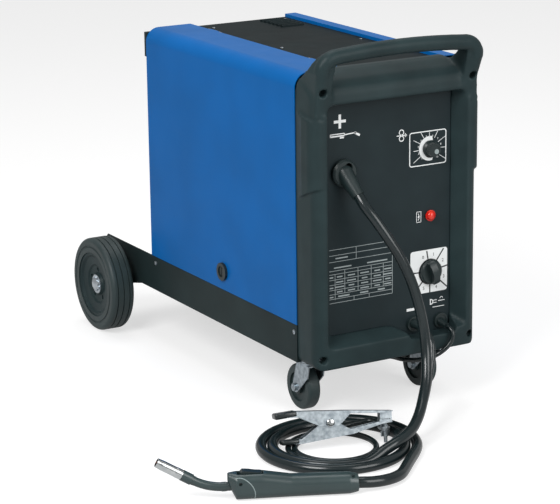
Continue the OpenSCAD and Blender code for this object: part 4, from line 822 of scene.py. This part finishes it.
for number in range(numbers):
    a = math.radians(first_angle - angle_step * number)
    scale_marks.append(figure(str(number + 1), speed_x + figure_x * math.cos(a),
                              speed_z + figure_z * math.sin(a), figure_h))
    a -= math.radians(angle_step / 2)
    if number < numbers - 1:
        reach = abs(reach_x / math.cos(a))
        if abs(math.sin(a)) > nearly_level:
            reach = min(reach, abs(reach_z / math.sin(a)))
        middle = (line_from + reach) / 2
        scale_marks.append(bar(speed_x + middle * math.cos(a), speed_z + middle * math.sin(a),
                               reach - line_from, line_w, math.degrees(a)))
scale_marks.append(ring(speed_x, speed_z, 15.2, 21, 70, 290, drift=(2.8, -1.6)))
screen_print("speed_scale", white_ink, scale_marks)

# %% [markdown]
# The power switch turns over a white plate with black sectors. The plate is a plane with its corners
# rounded, and the black print lies on top of it.

# %% The power switch's plate
switch_x, switch_z = 82, 233
plate_x, plate_z, plate_w, plate_h, plate_corner = 80, 234, 75, 76, 5
bpy.ops.mesh.primitive_plane_add(size=1, location=(plate_x * MM, panel_y * MM, plate_z * MM),
                                 rotation=(math.pi / 2, 0, 0))
plate = bpy.context.active_object
plate.scale = (plate_w * MM, plate_h * MM, 1)
settle(plate)
use(plate, "BEVEL", affect="VERTICES", width=plate_corner * MM, segments=5, limit_method="NONE")
screen_print("switch_plate", white_ink, [plate])


def round_switch(degrees, radius):
    """Place on the plate at an angle and a distance from the switch's axis."""
    return (switch_x + radius * math.cos(math.radians(degrees)),
            switch_z + radius * math.sin(math.radians(degrees)))


sector_lines, sector_from, sector_w, sector_x, sector_z = [], 20, 2.3, 36, 37
for a in (10, 53, 100, 178, 227, 270, 318):
    reach = min(abs(sector_x / math.cos(math.radians(a))), abs(sector_z / math.sin(math.radians(a))))
    sector_lines.append(bar(*round_switch(a, (sector_from + reach) / 2), reach - sector_from, sector_w, a))
for text, a, r in (("0", 118, 30), ("1", 76, 30), ("2", 32, 31), ("3", 336, 31), ("4", 294, 32),
                   ("5", 246, 31), ("6", 203, 31)):
    sector_lines.append(figure(text, *round_switch(a, r), 6))
sector_lines.append(ring(switch_x, switch_z, 20.4, 22.6))
screen_print("switch_sectors", black_ink, sector_lines, lift=0.2)

# %% [markdown]
# The rating table has ruled lines and plain bars in place of text, in rows and columns.

# %% The ruled rating table
rule = 0.8
rows = [298.4, 288.5, 277.5, 262, 256, 246.5, 238, 229, 221.5, 213.5, 206.5]
uprights = [(6.2, 252.5, 92), (-65.5, 288, 21), (-107, 234, 44), (-70, 210, 7), (-40, 210, 7)]
table = [bar(-56, z, 124, rule) for z in rows]
table += [bar(x, z, rule, length) for x, z, length in uprights + [(x, 242, 40) for x in (-88, -62, -36, -12)]]
screen_print("rating_table", grey_ink, table)
blank_h, blank_l, blank_step = 2, 11, 3
blanks = []
for line, z in enumerate((251, 242, 233.5, 225)):
    for column, x in enumerate((-98, -75, -49, -24, -3)):
        blanks.append(bar(x, z, blank_l + blank_step * ((line + column) % 3), blank_h))
blanks += [bar(x, z, length, blank_h) for x, z, length in ((-92, 267, 34), (-24, 267, 40), (-94, 283, 24),
                                                           (-114, 251, 7), (-114, 233, 7), (-114, 217, 7))]
blanks += [bar(x, 217, length, 2.4) for x, length in ((-90, 22), (-50, 16), (-16, 14))]
screen_print("rating_rows", grey_ink, blanks)

# %% [markdown]
# ## The leads on the body
# Each lead gets the cable sheath, rides on the body and stands for two solids, which are hidden.

for piece, replaced in ((torch_lead, ("torch_cable", "torch_coil")),
                        (earth_lead, ("earth_cable", "earth_coil")),
                        (mains_lead, ("mains_cord", "mains_coil"))):
    piece.data.materials.append(cable_sheath)
    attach(piece, "chassis")
    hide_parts(*replaced)

# %% [markdown]
# ## Floor and light
# The floor and the backdrop are pale. What makes them so is not more light on the machine: a Light Path
# node tells what looks at them, and they shine for the camera and through clear things. Reflections see
# a fixed share of that, so that polished metal shows the room and dark plastic stays dark.


# %% Floor
def shown_share(tree, mirror_share):
    """1 for the camera and through clear things, mirror_share in reflections, 0 for the rest."""
    rays = add(tree, "ShaderNodeLightPath").outputs
    mirrored = add(tree, "ShaderNodeMath", {1: mirror_share}, {0: rays["Is Glossy Ray"]},
                   operation="MULTIPLY")
    direct = add(tree, "ShaderNodeMath", links={0: rays["Is Camera Ray"], 1: rays["Is Transmission Ray"]},
                 operation="MAXIMUM")
    return add(tree, "ShaderNodeMath", links={0: direct.outputs[0], 1: mirrored.outputs[0]},
               operation="MAXIMUM").outputs[0]


floor_size, floor_glow, floor_mirror = 14, 0.62, 0.35
bpy.ops.object.select_all(action="DESELECT")
bpy.ops.mesh.primitive_plane_add(size=floor_size, location=(0, 0, 0))
floor = bpy.context.active_object
floor.name = "floor"
floor_paint, tree, bsdf = new_finish("floor_paint", base_color=linear("#B4B4B4"), roughness=0.9)
glow = add(tree, "ShaderNodeEmission", {"Color": (1, 1, 1, 1), "Strength": floor_glow})
dark = add(tree, "ShaderNodeEmission", {"Color": (0, 0, 0, 1), "Strength": 0})
pick = add(tree, "ShaderNodeMixShader", links={0: shown_share(tree, floor_mirror), 1: dark.outputs[0],
                                               2: glow.outputs[0]})
both = add(tree, "ShaderNodeAddShader", links={0: bsdf.outputs[0], 1: pick.outputs[0]})
tree.links.new(both.outputs[0], tree.nodes["Material Output"].inputs["Surface"])
floor.data.materials.append(floor_paint)

# %% World and lamps
world_light, world_shown, world_mirror = 0.36, 1.0, 0.1
world = bpy.data.worlds.new("studio")
bpy.context.scene.world = world
world.use_nodes = True
tree = world.node_tree
sky = tree.nodes["Background"]
sky.inputs["Color"].default_value = (1, 1, 1, 1)
level = add(tree, "ShaderNodeMapRange", {"To Min": world_light, "To Max": world_shown},
            {"Value": shown_share(tree, world_mirror)})
tree.links.new(level.outputs["Result"], sky.inputs["Strength"])


def lamp(name, spot, size, power, target=(0, 0, 0.3)):
    """Square lamp at a spot in metres, aimed at the machine."""
    data = bpy.data.lights.new(name, "AREA")
    data.size = size
    data.energy = power
    shine = bpy.data.objects.new(name, data)
    shine.location = spot
    shine.rotation_euler = (Vector(target) - Vector(spot)).to_track_quat("-Z", "Y").to_euler()
    bpy.context.scene.collection.objects.link(shine)


lamp("key", (-2.6, -1.6, 2.6), 1.6, 95)
lamp("front_fill", (0.8, -3.2, 1.6), 2.0, 55)
lamp("top", (0.2, 0.6, 3.2), 2.0, 30)
bpy.context.scene.view_settings.view_transform = "Standard"
